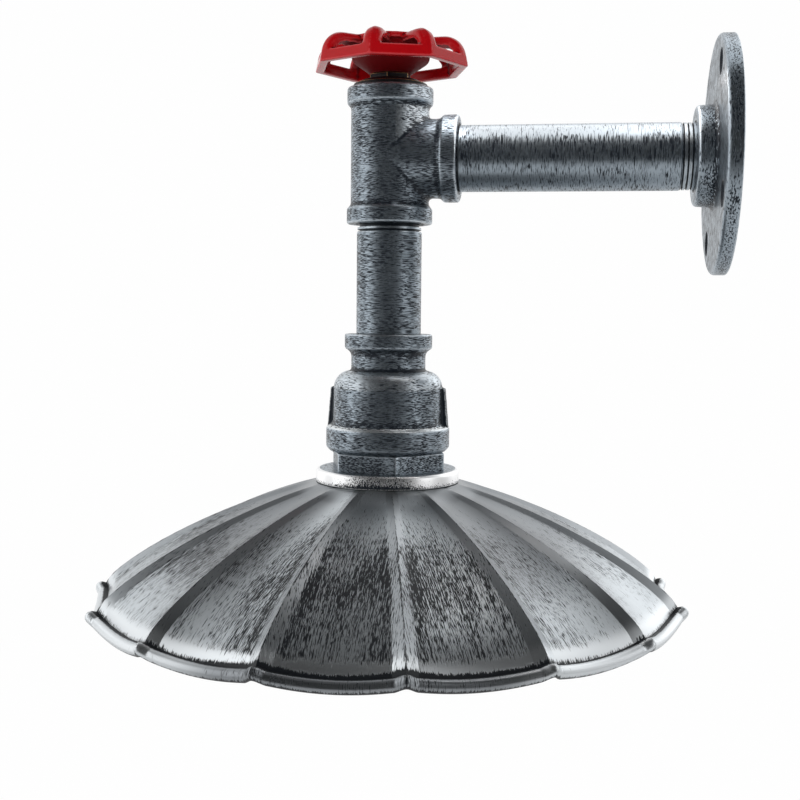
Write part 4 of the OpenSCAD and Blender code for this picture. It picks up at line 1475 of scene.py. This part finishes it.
@dataclass
class Reducer:
    """The bell reducer under the drop pipe."""

    top: float = -71.9
    low: float = -120.7
    band_r: float = 18.25
    band_h: float = 6.0
    neck_r: float = 15.5
    shoulder_z: float = -87.4
    bell_r: float = 22.5
    foot_r: float = 23.0
    mouth_r: float = 25.8
    mouth_h: float = 10.0
    rib_w: float = 4.4
    rib_r: Span = (24.1, 25.4)
    rib_z: Span = (-94.2, -110.2)
    rib_sink: float = 2.0
    socket_r: float = 13.28
    socket: float = 12.5
    passage_r: float = 12.0
    chamber_r: float = 21.0
    chamber_top: float = -96.9
    socket_mouth: float = 0.6
    mouth_margin: float = 0.03
    mouth_bevel: float = 1.8
    neck_step: float = 1.6
    shoulder_band: Span = (0.4, 7.5)
    shoulder_clear: float = 0.6
    step_highlight_band: Span = (-0.1, 1.0)
    step_highlight_reach: Span = (0.5, 0.15)
    voxel: float = 0.5
    passes: int = 3

    def rib(self, side: float) -> BMesh:
        """Makes one grip rib, which leans out towards the mouth.

        Args:
            side: +1 for the rib towards the wall, -1 for the other.

        Returns:
            The rib's mesh.
        """
        bm = bmesh.new()
        bmesh.ops.create_cube(bm, size=1.0)
        for v in bm.verts:
            end = 0 if v.co.z > 0 else 1
            reach = self.rib_r[end] if v.co.x > 0 else self.bell_r - self.rib_sink
            v.co = (reach, v.co.y * self.rib_w, self.rib_z[end])
        return moved(bm, Matrix.Rotation(0.0 if side > 0 else math.pi, 4, "Z"))

    def is_black(self, middle: Vector) -> bool:
        """Tells whether a face lies on a grip rib or in the upper socket.

        Args:
            middle: The face's middle.

        Returns:
            Whether it does.
        """
        reach = middle.xy.length
        on_rib = abs(middle.y) < self.rib_w / 2 + 0.5 and reach > self.foot_r + 0.1
        on_rib = on_rib and self.rib_z[1] - 0.3 < middle.z < self.rib_z[0] + 0.5
        return on_rib or (reach < self.socket_r + self.socket_mouth - self.mouth_margin and middle.z > self.shoulder_z)

    def on_shoulder(self, middle: Vector) -> bool:
        """Tells whether a face lies on the bell's shoulder.

        Args:
            middle: The face's middle.

        Returns:
            Whether it does.
        """
        above, deep = self.shoulder_band
        outside = middle.xy.length > self.neck_r + self.shoulder_clear
        return outside and 0 < self.shoulder_z + above - middle.z < deep

    def on_highlighted_step(self, middle: Vector) -> bool:
        """Tells whether a face lies on the step above the mouth, which takes a painted highlight.

        Args:
            middle: The face's middle.

        Returns:
            Whether it does.
        """
        inner, outer = self.step_highlight_reach
        beside = self.foot_r + inner < middle.xy.length < self.mouth_r - outer
        return beside and self.step_highlight_band[0] < middle.z - (self.low + self.mouth_h) < self.step_highlight_band[1]

    def build(self) -> None:
        """Builds the fitting with its two grip ribs."""
        rim = self.low + self.mouth_h
        outline = [
            Corner(0, self.low), Corner(self.mouth_r - self.mouth_bevel, self.low, 0.4),
            Corner(self.mouth_r, self.low + self.mouth_bevel, 0.6),
            Corner(self.mouth_r, rim, 0.4), Corner(self.foot_r, rim + 0.9, 2.5),
            Corner(self.bell_r, self.shoulder_z, 7.0), Corner(self.neck_r, self.shoulder_z + 0.2, 0.5),
            Corner(self.neck_r, self.top - self.band_h - self.neck_step, self.neck_step),
            Corner(self.band_r, self.top - self.band_h, 0.7), Corner(self.band_r, self.top, 0.6), Corner(0, self.top),
        ]
        casting = fused(joined(turned(outline, fine=2, arc=8), self.rib(1), self.rib(-1)), self.voxel, self.passes)
        mouth = self.socket_mouth
        bores = turned([
            Corner(0, self.low - PAST), Corner(self.chamber_r, self.low - PAST),
            Corner(self.chamber_r, self.chamber_top),
            Corner(self.passage_r, self.chamber_top), Corner(self.passage_r, self.top - self.socket),
            Corner(self.socket_r, self.top - self.socket), Corner(self.socket_r, self.top - mouth),
            Corner(self.socket_r + mouth, self.top), Corner(self.socket_r + mouth, self.top + PAST),
            Corner(0, self.top + PAST),
        ], steps=96, fine=UNCUT)
        casting = bored(casting, bores)
        # The shoulder and the step above the mouth take painted highlights.
        paints = [CASTING_PAINT, BARE_PAINT, SHOULDER_HIGHLIGHT_PAINT, STEP_HIGHLIGHT_PAINT]
        marked(casting, self.on_shoulder, paints.index(SHOULDER_HIGHLIGHT_PAINT))
        marked(casting, self.on_highlighted_step, paints.index(STEP_HIGHLIGHT_PAINT))
        marked(casting, self.is_black, paints.index(BARE_PAINT))
        finished(casting, "reducer_casting", ["reducer"], Body.LAMP, paints, Placing.LAMP, crease=50)


@dataclass
class Plug:
    """The hexagonal plug under the reducer and the crown cap on the shade."""

    top: float = -120.7
    low: float = -128.0
    flats: float = 43.8
    turn: float = 16.0
    spigot_r: float = 20.95
    spigot_bore: float = 16.95
    spigot_top: float = -108.7
    floor_top: float = -122.0
    bore_r: float = 5.15
    crown_r: float = 30.0
    crown_low: float = -133.4
    crown_t: float = 1.2
    crown_edge: float = 1.5
    ease: float = 0.4
    short_edge: float = 3.0
    cuts: int = 14

    def block(self) -> BMesh:
        """Makes the hexagonal block with eased edges, all but the lower ones."""
        bm = hexagon(self.flats, self.low, self.top, self.turn)
        upper = [
            e for e in bm.edges
            if min(v.co.z for v in e.verts) > self.low + 0.1 or e.calc_length() < self.flats / 3
        ]
        eased(bm, upper, self.ease, 3, Easing.EDGES)
        sides = [e for e in bm.edges if e.calc_length() > self.short_edge]
        bmesh.ops.subdivide_edges(bm, edges=sides, cuts=self.cuts, use_grid_fill=True)
        return bm

    def build(self) -> None:
        """Builds the plug with its spigot, and the crown cap."""
        block = bored(self.block(), turned([
            Corner(0, self.low - PAST), Corner(self.bore_r, self.low - PAST), Corner(self.bore_r, self.floor_top),
            Corner(self.spigot_bore, self.floor_top), Corner(self.spigot_bore, self.top + PAST),
            Corner(0, self.top + PAST),
        ], steps=64, fine=UNCUT))
        spigot = turned([
            Corner(self.spigot_bore, self.top), Corner(self.spigot_r, self.top),
            Corner(self.spigot_r, self.spigot_top, 0.5), Corner(self.spigot_bore, self.spigot_top, 0.5),
        ], steps=64)
        plug = joined(block, spigot)
        finished(plug, "plug_casting", ["hex_plug"], Body.LAMP, [PLUG_PAINT], Placing.LAMP, crease=30)
        inner_r, under = self.crown_r - self.crown_t, self.low - self.crown_t
        cap = turned([
            Corner(self.bore_r, self.low), Corner(self.crown_r, self.low, 1.5),
            Corner(self.crown_r, self.crown_low, 0.35), Corner(inner_r, self.crown_low, 0.3),
            Corner(inner_r, under, 0.8), Corner(self.bore_r, under),
        ])
        paints = [CROWN_PAINT, CROWN_TOP_PAINT]
        inside = self.crown_r - self.crown_edge
        marked(cap, lambda middle: middle.xy.length < inside, paints.index(CROWN_TOP_PAINT))
        finished(cap, "crown_pressing", ["crown_cap"], Body.LAMP, paints, Placing.LAMP)


class SheetPart(Enum):
    """Parts of the shade's outline, from the hole in its top round the rim and back underneath."""

    HOLE = "edge of the hole in the top"
    HAT = "edge of the flat top"
    WALL = "foot of the step under the crown cap"
    DOME = "ribbed dome"
    BEAD = "rolled rim"
    LINING = "underside of the dome"
    UNDER_WALL = "foot of the step, underneath"
    UNDER_HAT = "edge of the flat top, underneath"
    UNDER_HOLE = "edge of the hole, underneath"


@dataclass(frozen=True)
class SheetRow:
    """A row of the shade's outline: its slope for the paint, its part and its place within that part."""

    slope: float
    part: SheetPart
    where: float = 0.0


@dataclass
class Shade:
    """The scalloped sheet shade with raised ribs and a rolled rim."""

    petals: int = 15
    rib_turn: float = 12.1
    crown_r: float = 30.0
    crown_z: float = -133.7
    groove_r: float = 120.83
    drop: float = 45.1
    crown_slope: float = 13.0
    rim_slope: float = 48.6
    crown_run: float = 30.8
    rim_run: float = 22.5
    rib_w: Span = (4.6, 9.0)
    rib_h: Span = (0.9, 2.9)
    rib_fade: float = 0.1
    bead_r: float = 2.4
    bead_sink: float = 0.6
    bead_lead: float = 2.9
    bead_arc: Span = (150.0, -172.0)
    sheet_t: float = 0.8
    hat_r: float = 28.5
    hat_z: float = -129.2
    hole_r: float = 13.0
    columns: int = 40
    rib_share: float = 0.45
    hem: float = 0.90
    hem_drop: float = 0.8
    dome_rows: int = 62
    lining_rows: int = 24
    bead_rows: int = 32
    uv_shift: float = 1.37
    weld: float = 1e-3
    top_slopes: Spot = (-0.2, -0.1, -0.05)
    under_slopes: Spot = (3.3, 3.4, 3.5)

    def control(self) -> list[Vector]:
        """Gives the four points that draw the dome's curve, as radius and height."""
        top, rim = math.radians(self.crown_slope), math.radians(self.rim_slope)
        start, end = Vector((self.crown_r, self.crown_z)), Vector((self.groove_r, self.crown_z - self.drop))
        return [
            start, start + self.crown_run * Vector((math.cos(top), -math.sin(top))),
            end - self.rim_run * Vector((math.cos(rim), -math.sin(rim))), end,
        ]

    def dome(self, t: float) -> tuple[Vector, Vector]:
        """Finds the dome's curve.

        Args:
            t: Place from crown (0) to groove (1).

        Returns:
            The point and the direction along the curve.
        """
        a, b, c, d = self.control()
        u = 1 - t
        point = u**3 * a + 3 * u * u * t * b + 3 * u * t * t * c + t**3 * d
        along = (u * u * (b - a) + 2 * u * t * (c - b) + t * t * (d - c)).normalized()
        return point, along

    def sink(self, place: float, t: float) -> float:
        """Gives the depth below the ribs' crests.

        Args:
            place: 0 on a crest, 1 at a rib's foot, 2 in the middle of a panel.
            t: Place from crown (0) to groove (1).

        Returns:
            The depth.
        """
        radius = self.dome(t)[0].x
        height = self.rib_h[0] + (self.rib_h[1] - self.rib_h[0]) * t
        inside = max(0.0, place - 1)
        sag = radius * (1 - math.cos(math.pi / self.petals)) * inside * (2 - inside)
        return min(1.0, t / self.rib_fade) * (min(1.0, place) * height + sag)

    def angle(self, place: float, t: float) -> float:
        """Gives the angle from the nearest crest, in radians; see sink for the Args."""
        half = math.pi / self.petals
        foot = (self.rib_w[0] + (self.rib_w[1] - self.rib_w[0]) * t) / 2 / self.dome(t)[0].x
        return place * foot if place <= 1 else foot + (half - foot) * (place - 1)

    def rows(self) -> list[SheetRow]:
        """Lists the outline's rows.

        Returns:
            The rows from the hole's edge round the rim and back to it underneath.
        """
        over = (SheetPart.HOLE, SheetPart.HAT, SheetPart.WALL)
        under = (SheetPart.UNDER_WALL, SheetPart.UNDER_HAT, SheetPart.UNDER_HOLE)
        rows = [SheetRow(slope, part) for slope, part in zip(self.top_slopes, over)]
        for i in range(self.dome_rows + 1):
            rows.append(SheetRow(i / self.dome_rows, SheetPart.DOME, i / self.dome_rows))
        start, end = math.radians(self.bead_arc[0]), math.radians(self.bead_arc[1])
        for i in range(self.bead_rows + 1):
            share = i / self.bead_rows
            slope = BEAD_SLOPE + (LINING_SLOPE - BEAD_SLOPE) * share
            rows.append(SheetRow(slope, SheetPart.BEAD, start + (end - start) * share))
        for i in range(self.lining_rows + 1):
            where = 1 - i / self.lining_rows
            rows.append(SheetRow(LINING_SLOPE + where, SheetPart.LINING, where))
        return rows + [SheetRow(slope, part) for slope, part in zip(self.under_slopes, under)]

    def point(self, row: SheetRow, place: float) -> Spot:
        """Finds one point of the sheet.

        Args:
            row: Row of the outline.
            place: 0 on a crest to 2 in mid panel.

        Returns:
            Radius, height and the angle from the nearest crest.
        """
        under = self.sheet_t
        plain = {
            SheetPart.HOLE: (self.hole_r, self.hat_z),
            SheetPart.HAT: (self.hat_r, self.hat_z),
            SheetPart.WALL: (self.hat_r, self.crown_z),
            SheetPart.UNDER_WALL: (self.hat_r - under, self.crown_z - under),
            SheetPart.UNDER_HAT: (self.hat_r - under, self.hat_z - under),
            SheetPart.UNDER_HOLE: (self.hole_r, self.hat_z - under),
        }
        if row.part in plain:
            return (*plain[row.part], self.angle(place, 0.0))
        t = 1.0 if row.part is SheetPart.BEAD else row.where
        centre, along = self.dome(t)
        out = Vector((-along.y, along.x))
        if row.part is SheetPart.BEAD:
            eased_place = place * place * (3 - 2 * place) if place < 1 else place
            middle = centre - (self.sink(eased_place, 1.0) + self.bead_sink) * out + self.bead_lead * along
            spot = middle + self.bead_r * (math.cos(row.where) * along + math.sin(row.where) * out)
        else:
            depth = self.sink(place, t) + (self.sheet_t if row.part is SheetPart.LINING else 0.0)
            depth += self.hem_drop * max(0.0, (t - self.hem) / (1 - self.hem)) ** 2
            spot = centre - depth * out
        return spot.x, spot.y, self.angle(place, t)

    def petal(self) -> BMesh:
        """Makes one petal as a grid bent from crest to crest.

        Returns:
            The petal, with place, slope and its lengths across and along kept on its corners.
        """
        rows = self.rows()
        bm = bmesh.new()
        bmesh.ops.create_grid(bm, x_segments=self.columns, y_segments=len(rows) - 1, size=0.5)
        names = ("place", "slope", "across", "along")
        for name in names:
            bm.verts.layers.float.new(name)
        place_layer, slope_layer, across_layer, along_layer = (bm.verts.layers.float[name] for name in names)
        spots = [Vector(self.point(row, 2.0)[:2]) for row in rows]
        run = [0.0]
        for before, spot in zip(spots, spots[1:]):
            run.append(run[-1] + (spot - before).length)
        step = math.pi / self.petals
        for v in bm.verts:
            share = v.co.x + 0.5
            near = min(share, 1 - share) * 2
            if near < self.rib_share:
                place = near / self.rib_share
            else:
                place = 1 + (near - self.rib_share) / (1 - self.rib_share)
            index = round((v.co.y + 0.5) * (len(rows) - 1))
            radius, height, turn = self.point(rows[index], place)
            angle = turn if share <= 0.5 else 2 * step - turn
            v[place_layer], v[slope_layer] = place, rows[index].slope
            v[across_layer], v[along_layer] = radius * math.sin(angle - step), run[index]
            v.co = (radius * math.sin(angle), -radius * math.cos(angle), height)
        return bm

    def build(self) -> None:
        """Builds the whole shade from its petals."""
        bm = self.petal()
        paints = [SheetPaint(), LINING_PAINT]
        uv = bm.loops.layers.uv.new("sheet")
        across, along = bm.verts.layers.float["across"], bm.verts.layers.float["along"]
        slope = bm.verts.layers.float["slope"]
        for face in bm.faces:
            if max(v[slope] for v in face.verts) > LINING_SLOPE:
                face.material_index = paints.index(LINING_PAINT)
            for loop in face.loops:
                loop[uv].uv = (loop.vert[across] / SHEET_UNIT, loop.vert[along] / SHEET_UNIT)
        repeated(bm, self.petals)
        for face in bm.faces:
            middle = face.calc_center_median()
            index = math.floor((math.atan2(middle.x, -middle.y) % FULL_TURN) / (FULL_TURN / self.petals))
            for loop in face.loops:
                loop[uv].uv.x += self.uv_shift * index
        bmesh.ops.remove_doubles(bm, verts=bm.verts, dist=self.weld)
        bmesh.ops.bridge_loops(bm, edges=[e for e in bm.edges if e.is_boundary])
        bmesh.ops.recalc_face_normals(bm, faces=bm.faces)
        moved(bm, Matrix.Rotation(math.radians(self.rib_turn), 4, "Z"))
        finished(bm, "shade_sheet_metal", ["shade"], Body.LAMP, paints, Placing.LAMP, 16, 1)


@dataclass
class Handwheel:
    """The cast handwheel: an eight-sided rim, arched spokes and a plate over a bowl-shaped hub."""

    spokes: int = 8
    turn: float = -6.0
    corner_r: float = 32.5
    rim_low: float = 36.3
    rim_h: float = 4.6
    rim_w: float = 3.6
    draft: float = 0.9
    spoke_w: float = 7.4
    crown: float = 0.8
    ease: float = 1.4
    bevel: Span = (0.3, 0.65)
    strap: float = 3.2
    arch_r: float = 9.3
    arch_x: float = 22.3
    arch_z: float = 39.6
    plate_r: float = 16.25
    plate_top: float = 48.5
    plate_t: float = 2.2
    plate_lip: float = 1.8
    hub_r: float = 8.4
    hub_low: float = 34.4
    bowl_r: float = 16.6
    bowl_z: float = 40.0
    seat: float = 45.0
    recess_r: float = 8.0
    bore_r: float = 3.55
    recess_mouth: float = 0.6
    overlap: float = 2.0
    roll: float = 97.0
    roll_steps: int = 14
    voxel: float = 0.42
    passes: int = 6

    def rim(self) -> BMesh:
        """Makes the eight-sided rim."""
        inner = self.corner_r - self.rim_w / math.cos(math.pi / self.spokes)
        top = self.rim_low + self.rim_h
        return turned([
            Corner(inner, self.rim_low), Corner(self.corner_r, self.rim_low), Corner(self.corner_r - self.draft, top),
            Corner(inner, top),
        ], steps=self.spokes, fine=UNCUT)

    def spokes_mesh(self) -> BMesh:
        """Makes the spokes: each a crowned strap that runs out of the plate and rolls over down to the rim."""
        bm = bmesh.new()
        half = self.spoke_w / 2
        fall = half * math.tan(math.pi / self.spokes) * self.crown
        top = self.arch_z + self.arch_r
        start = self.plate_r - self.overlap
        near, side = half - self.ease, -fall - self.ease
        slope = fall / half
        bevel = (-half + self.ease * self.bevel[0], side + self.ease * self.bevel[1])
        upper = [(-half, side), bevel, (-near, -near * slope), (0.0, 0.0)]
        upper += [(-y, z) for y, z in reversed(upper[:3])]
        under = side - self.strap + self.ease
        rows = [*upper, (half, under), (0.0, -self.strap), (-half, under)]
        face = bm.faces.new([bm.verts.new((start, y, top + z)) for y, z in rows])
        made = bmesh.ops.extrude_face_region(bm, geom=[face], use_keep_orig=True)["geom"]
        bmesh.ops.translate(
            bm, vec=(self.arch_x - start, 0, 0), verts=[g for g in made if isinstance(g, bmesh.types.BMVert)]
        )
        end = [g for g in made if isinstance(g, bmesh.types.BMFace)]
        bmesh.ops.spin(
            bm, geom=end, cent=(self.arch_x, 0, self.arch_z), axis=(0, 1, 0), dvec=(0, 0, 0),
            angle=math.radians(self.roll), steps=self.roll_steps,
        )
        bmesh.ops.recalc_face_normals(bm, faces=bm.faces)
        repeated(bm, self.spokes)
        return bm

    def build(self) -> None:
        """Builds the wheel as one soft casting."""
        under = self.plate_top - self.plate_t
        hub = turned([
            Corner(0, self.hub_low), Corner(self.hub_r, self.hub_low), Corner(self.bowl_r, self.bowl_z, 2.0),
            Corner(self.plate_r - self.plate_lip, under), Corner(self.plate_r, under),
            Corner(self.plate_r, self.plate_top), Corner(0, self.plate_top),
        ], steps=72, fine=UNCUT)
        aim = Matrix.Rotation(math.radians(self.turn - 90), 4, "Z")
        casting = fused(moved(joined(self.rim(), self.spokes_mesh(), hub), aim), self.voxel, self.passes)
        mouth_r, below, above = self.recess_r + self.recess_mouth, self.hub_low - PAST, self.plate_top + 2 * PAST
        casting = bored(casting, turned([
            Corner(0, below), Corner(self.bore_r, below), Corner(self.bore_r, self.seat),
            Corner(self.recess_r, self.seat, 0.5), Corner(self.recess_r, self.plate_top - self.recess_mouth),
            Corner(mouth_r, self.plate_top), Corner(mouth_r, above), Corner(0, above),
        ], steps=72, fine=UNCUT))
        paints = [SLOT_FINISHES["red_enamel"]]
        finished(casting, "wheel_casting", ["handwheel"], Body.WHEEL, paints, Placing.LAMP, 50, 3)


@dataclass
class Gland:
    """The bonnet and gland nut between tee and wheel."""

    low: float = 16.0
    tee_top: float = 28.5
    rim_r: float = 15.2
    rim_h: float = 1.6
    shoulder_r: float = 14.7
    top_r: float = 11.2
    top: float = 31.9
    spigot_r: float = 13.23
    bore_r: float = 4.56
    nut_flats: float = 15.6
    nut_top: float = 34.1
    ease: float = 0.3

    def build(self) -> None:
        """Builds the domed bonnet and the nut with eased corners."""
        dome = turned([
            Corner(self.bore_r, self.low), Corner(self.spigot_r, self.low, 0.4), Corner(self.spigot_r, self.tee_top),
            Corner(self.rim_r, self.tee_top, 0.3), Corner(self.rim_r, self.tee_top + self.rim_h, 0.5),
            Corner(self.shoulder_r, self.tee_top + self.rim_h, 0.3), Corner(self.top_r, self.top, 1.0),
            Corner(self.bore_r, self.top),
        ])
        paints = [SLOT_FINISHES["black_iron"]]
        finished(dome, "bonnet_dome", ["bonnet"], Body.LAMP, paints, Placing.LAMP)
        block = hexagon(self.nut_flats, self.top, self.nut_top)
        eased(block, block.edges[:], self.ease, 2, Easing.EDGES)
        nut = bored(block, turned([
            Corner(0, self.top - PAST), Corner(self.bore_r, self.top - PAST),
            Corner(self.bore_r, self.nut_top + PAST), Corner(0, self.nut_top + PAST),
        ], steps=48, fine=UNCUT))
        finished(nut, "gland_hexagon", ["gland_nut"], Body.LAMP, paints, Placing.LAMP, 30, 1)


@dataclass(frozen=True)
class Softbox:
    """One soft lamp.

    Its place and target are in millimetres, its sides in metres, its power in watts and its beam in degrees.
    """

    name: str
    place: Spot
    target: Spot
    wide: float
    high: float
    power: float
    beam: float = 180.0
    tint: Colour = (1.0, 1.0, 1.0)
    mirrored: bool = True

    def hang(self) -> None:
        """Hangs the lamp, out of the camera's sight."""
        place = Vector(self.place)
        data = bpy.data.lights.new(self.name, "AREA")
        data.shape = "RECTANGLE"
        data.size, data.size_y, data.energy = self.wide, self.high, self.power
        data.spread, data.color = math.radians(self.beam), self.tint
        lamp = linked(self.name, data)
        lamp.visible_camera = False
        lamp.visible_glossy = self.mirrored
        aim = (Vector(self.target) - place).to_track_quat("-Z", "Y")
        lamp.matrix_world = Matrix.Translation(place * MM) @ aim.to_matrix().to_4x4()


@dataclass
class Studio:
    """The camera at the photograph's angle, the soft light and the pale floor."""

    eye: Spot = (-58.46, -490.88, -62.14)
    forward: Spot = (-0.14565, 0.98648, -0.07507)
    roll: float = 0.50
    focal_px: float = 1188.7
    width_px: float = 800.0
    sensor: float = 36.0
    near_clip: float = 0.01
    backdrop: Colour = (0.992, 0.992, 0.992)
    floor_at: Spot = (0.0, 0.0, -700.0)
    floor_half: float = 1.6
    floor_tone: Colour = (0.9, 0.9, 0.9)
    floor_rough: float = 0.8
    floor_seen: float = 0.985
    floor_mirrored: float = 0.66
    softboxes: tuple[Softbox, ...] = (
        Softbox("softbox_left", (-1000.0, -300.0, 120.0), LAMP_MIDDLE, 0.5, 1.0, 1.2),
        Softbox("softbox_right", (760.0, -300.0, 160.0), LAMP_MIDDLE, 0.5, 1.0, 1.35),
        Softbox(
            "softbox_arm", (-60.0, -8.0, 31.0), (-60.0, -8.0, 0.0), 0.092, 0.042, 0.0287, tint=(1.0, 0.93, 0.88)
        ),
        Softbox("softbox_rim", (-3.0, 0.0, 118.0), (-3.0, 0.0, 0.0), 0.08, 0.09, 0.029),
        Softbox("softbox_branch", (-112.5, -9.0, 31.0), (-112.5, -9.0, 0.0), 0.013, 0.030, 0.0020, beam=80.0),
        Softbox("fill", (-250.0, -1150.0, 320.0), (-120.0, 0.0, -40.0), 0.9, 0.9, 7.4, mirrored=False),
    )
    dim: float = 0.02
    panels: tuple[tuple[Spot, float, float, float], ...] = (
        ((-0.989, -0.146, 0.0), 0.52, 0.88, 0.80),
        ((0.989, 0.146, 0.0), 0.55, 0.95, 0.55),
        ((0.0, 0.0, 1.0), 0.93, 0.99, 0.20),
        ((0.649, 0.599, 0.469), 0.82, 0.96, 0.88),
        ((-0.70, 0.25, 0.669), 0.88, 0.98, 0.60),
        ((-0.146, 0.989, 0.0), 0.25, 0.78, 1.00),
    )

    def camera(self) -> None:
        """Sets up the camera."""
        data = bpy.data.cameras.new("camera")
        data.sensor_width = self.sensor
        data.lens = self.sensor * self.focal_px / self.width_px
        data.clip_start = self.near_clip
        ahead = Vector(self.forward).normalized()
        right = ahead.cross(Vector((0, 0, 1))).normalized()
        up = right.cross(ahead)
        c, s = math.cos(math.radians(self.roll)), math.sin(math.radians(self.roll))
        axes = Matrix((c * right + s * up, c * up - s * right, -ahead)).transposed()
        camera = linked("camera", data)
        camera.matrix_world = Matrix.Translation(Vector(self.eye) * MM) @ axes.to_4x4()
        bpy.context.scene.camera = camera

    def world(self) -> None:
        """Sets up the surrounding light: a white backdrop, and a room that is bright at the panels."""
        world = bpy.data.worlds.new("studio")
        world.use_nodes = True
        bpy.context.scene.world = world
        graph = Graph(world.node_tree)
        back = world.node_tree.nodes["Background"]
        way = graph.node("ShaderNodeTexCoord").outputs["Generated"]
        tone: Feed = self.dim
        for axis, start, full, level in self.panels:
            facing = graph.node("ShaderNodeVectorMath", operation="DOT_PRODUCT")
            graph.feed(facing.inputs[0], way)
            facing.inputs[1].default_value = axis
            tone = graph.plus(graph.fit(facing.outputs["Value"], start, full, 0.0, level), tone)
        seen = graph.node("ShaderNodeLightPath").outputs["Is Camera Ray"]
        graph.feed(back.inputs["Color"], graph.mix(seen, tone, self.backdrop))

    def floor(self) -> None:
        """Lays the pale floor, which keeps a faint shadow."""
        bm = bmesh.new()
        bmesh.ops.create_grid(bm, x_segments=2, y_segments=2, size=self.floor_half)
        bmesh.ops.translate(bm, vec=Vector(self.floor_at) * MM, verts=bm.verts)
        mesh = mesh_from(bm, "floor")
        material, graph, shader = shaded("pale_floor")
        shader.inputs["Base Color"].default_value = (*self.floor_tone, 1.0)
        shader.inputs["Roughness"].default_value = self.floor_rough
        glow = graph.node("ShaderNodeEmission")
        blend = graph.node("ShaderNodeMixShader")
        ray = graph.node("ShaderNodeLightPath")
        seen = graph.times(ray.outputs["Is Camera Ray"], self.floor_seen)
        mirrored = graph.times(ray.outputs["Is Glossy Ray"], self.floor_mirrored)
        graph.feed(blend.inputs[0], graph.plus(seen, mirrored))
        graph.feed(blend.inputs[1], shader.outputs[0])
        graph.feed(blend.inputs[2], glow.outputs[0])
        output = material.node_tree.nodes["Material Output"]
        graph.feed(output.inputs["Surface"], blend.outputs[0])
        mesh.materials.append(material)
        floor = linked("floor", mesh)

    def build(self) -> None:
        """Builds the whole studio."""
        self.camera()
        self.world()
        for softbox in self.softboxes:
            softbox.hang()
        self.floor()
        bpy.context.scene.view_settings.view_transform = "Standard"


def dress_nodes() -> None:
    """Gives every CAD node the finish of its slot in the record."""
    for subpart in frame["record"]["subparts"]:
        paint(frame["nodes"][subpart["node"]], subpart["material_slot"])


def paint(node: Object, slot: str) -> None:
    """Gives one CAD node its finish.

    Args:
        node: The node's object.
        slot: The record's material slot.
    """
    node.data.materials.clear()
    node.data.materials.append(SLOT_FINISHES[slot].material())
    LOG.info("%s: %s", node.name, slot)


def main() -> None:
    """Builds the studio and every piece in order."""
    logging.basicConfig(level=logging.INFO, format="%(message)s")
    Studio().build()
    dress_nodes()
    for assembly in (Flange(), PipeRun(), Tee(), Reducer(), Plug(), Shade(), Handwheel(), Gland()):
        assembly.build()


if __name__ == "__main__":
    main()
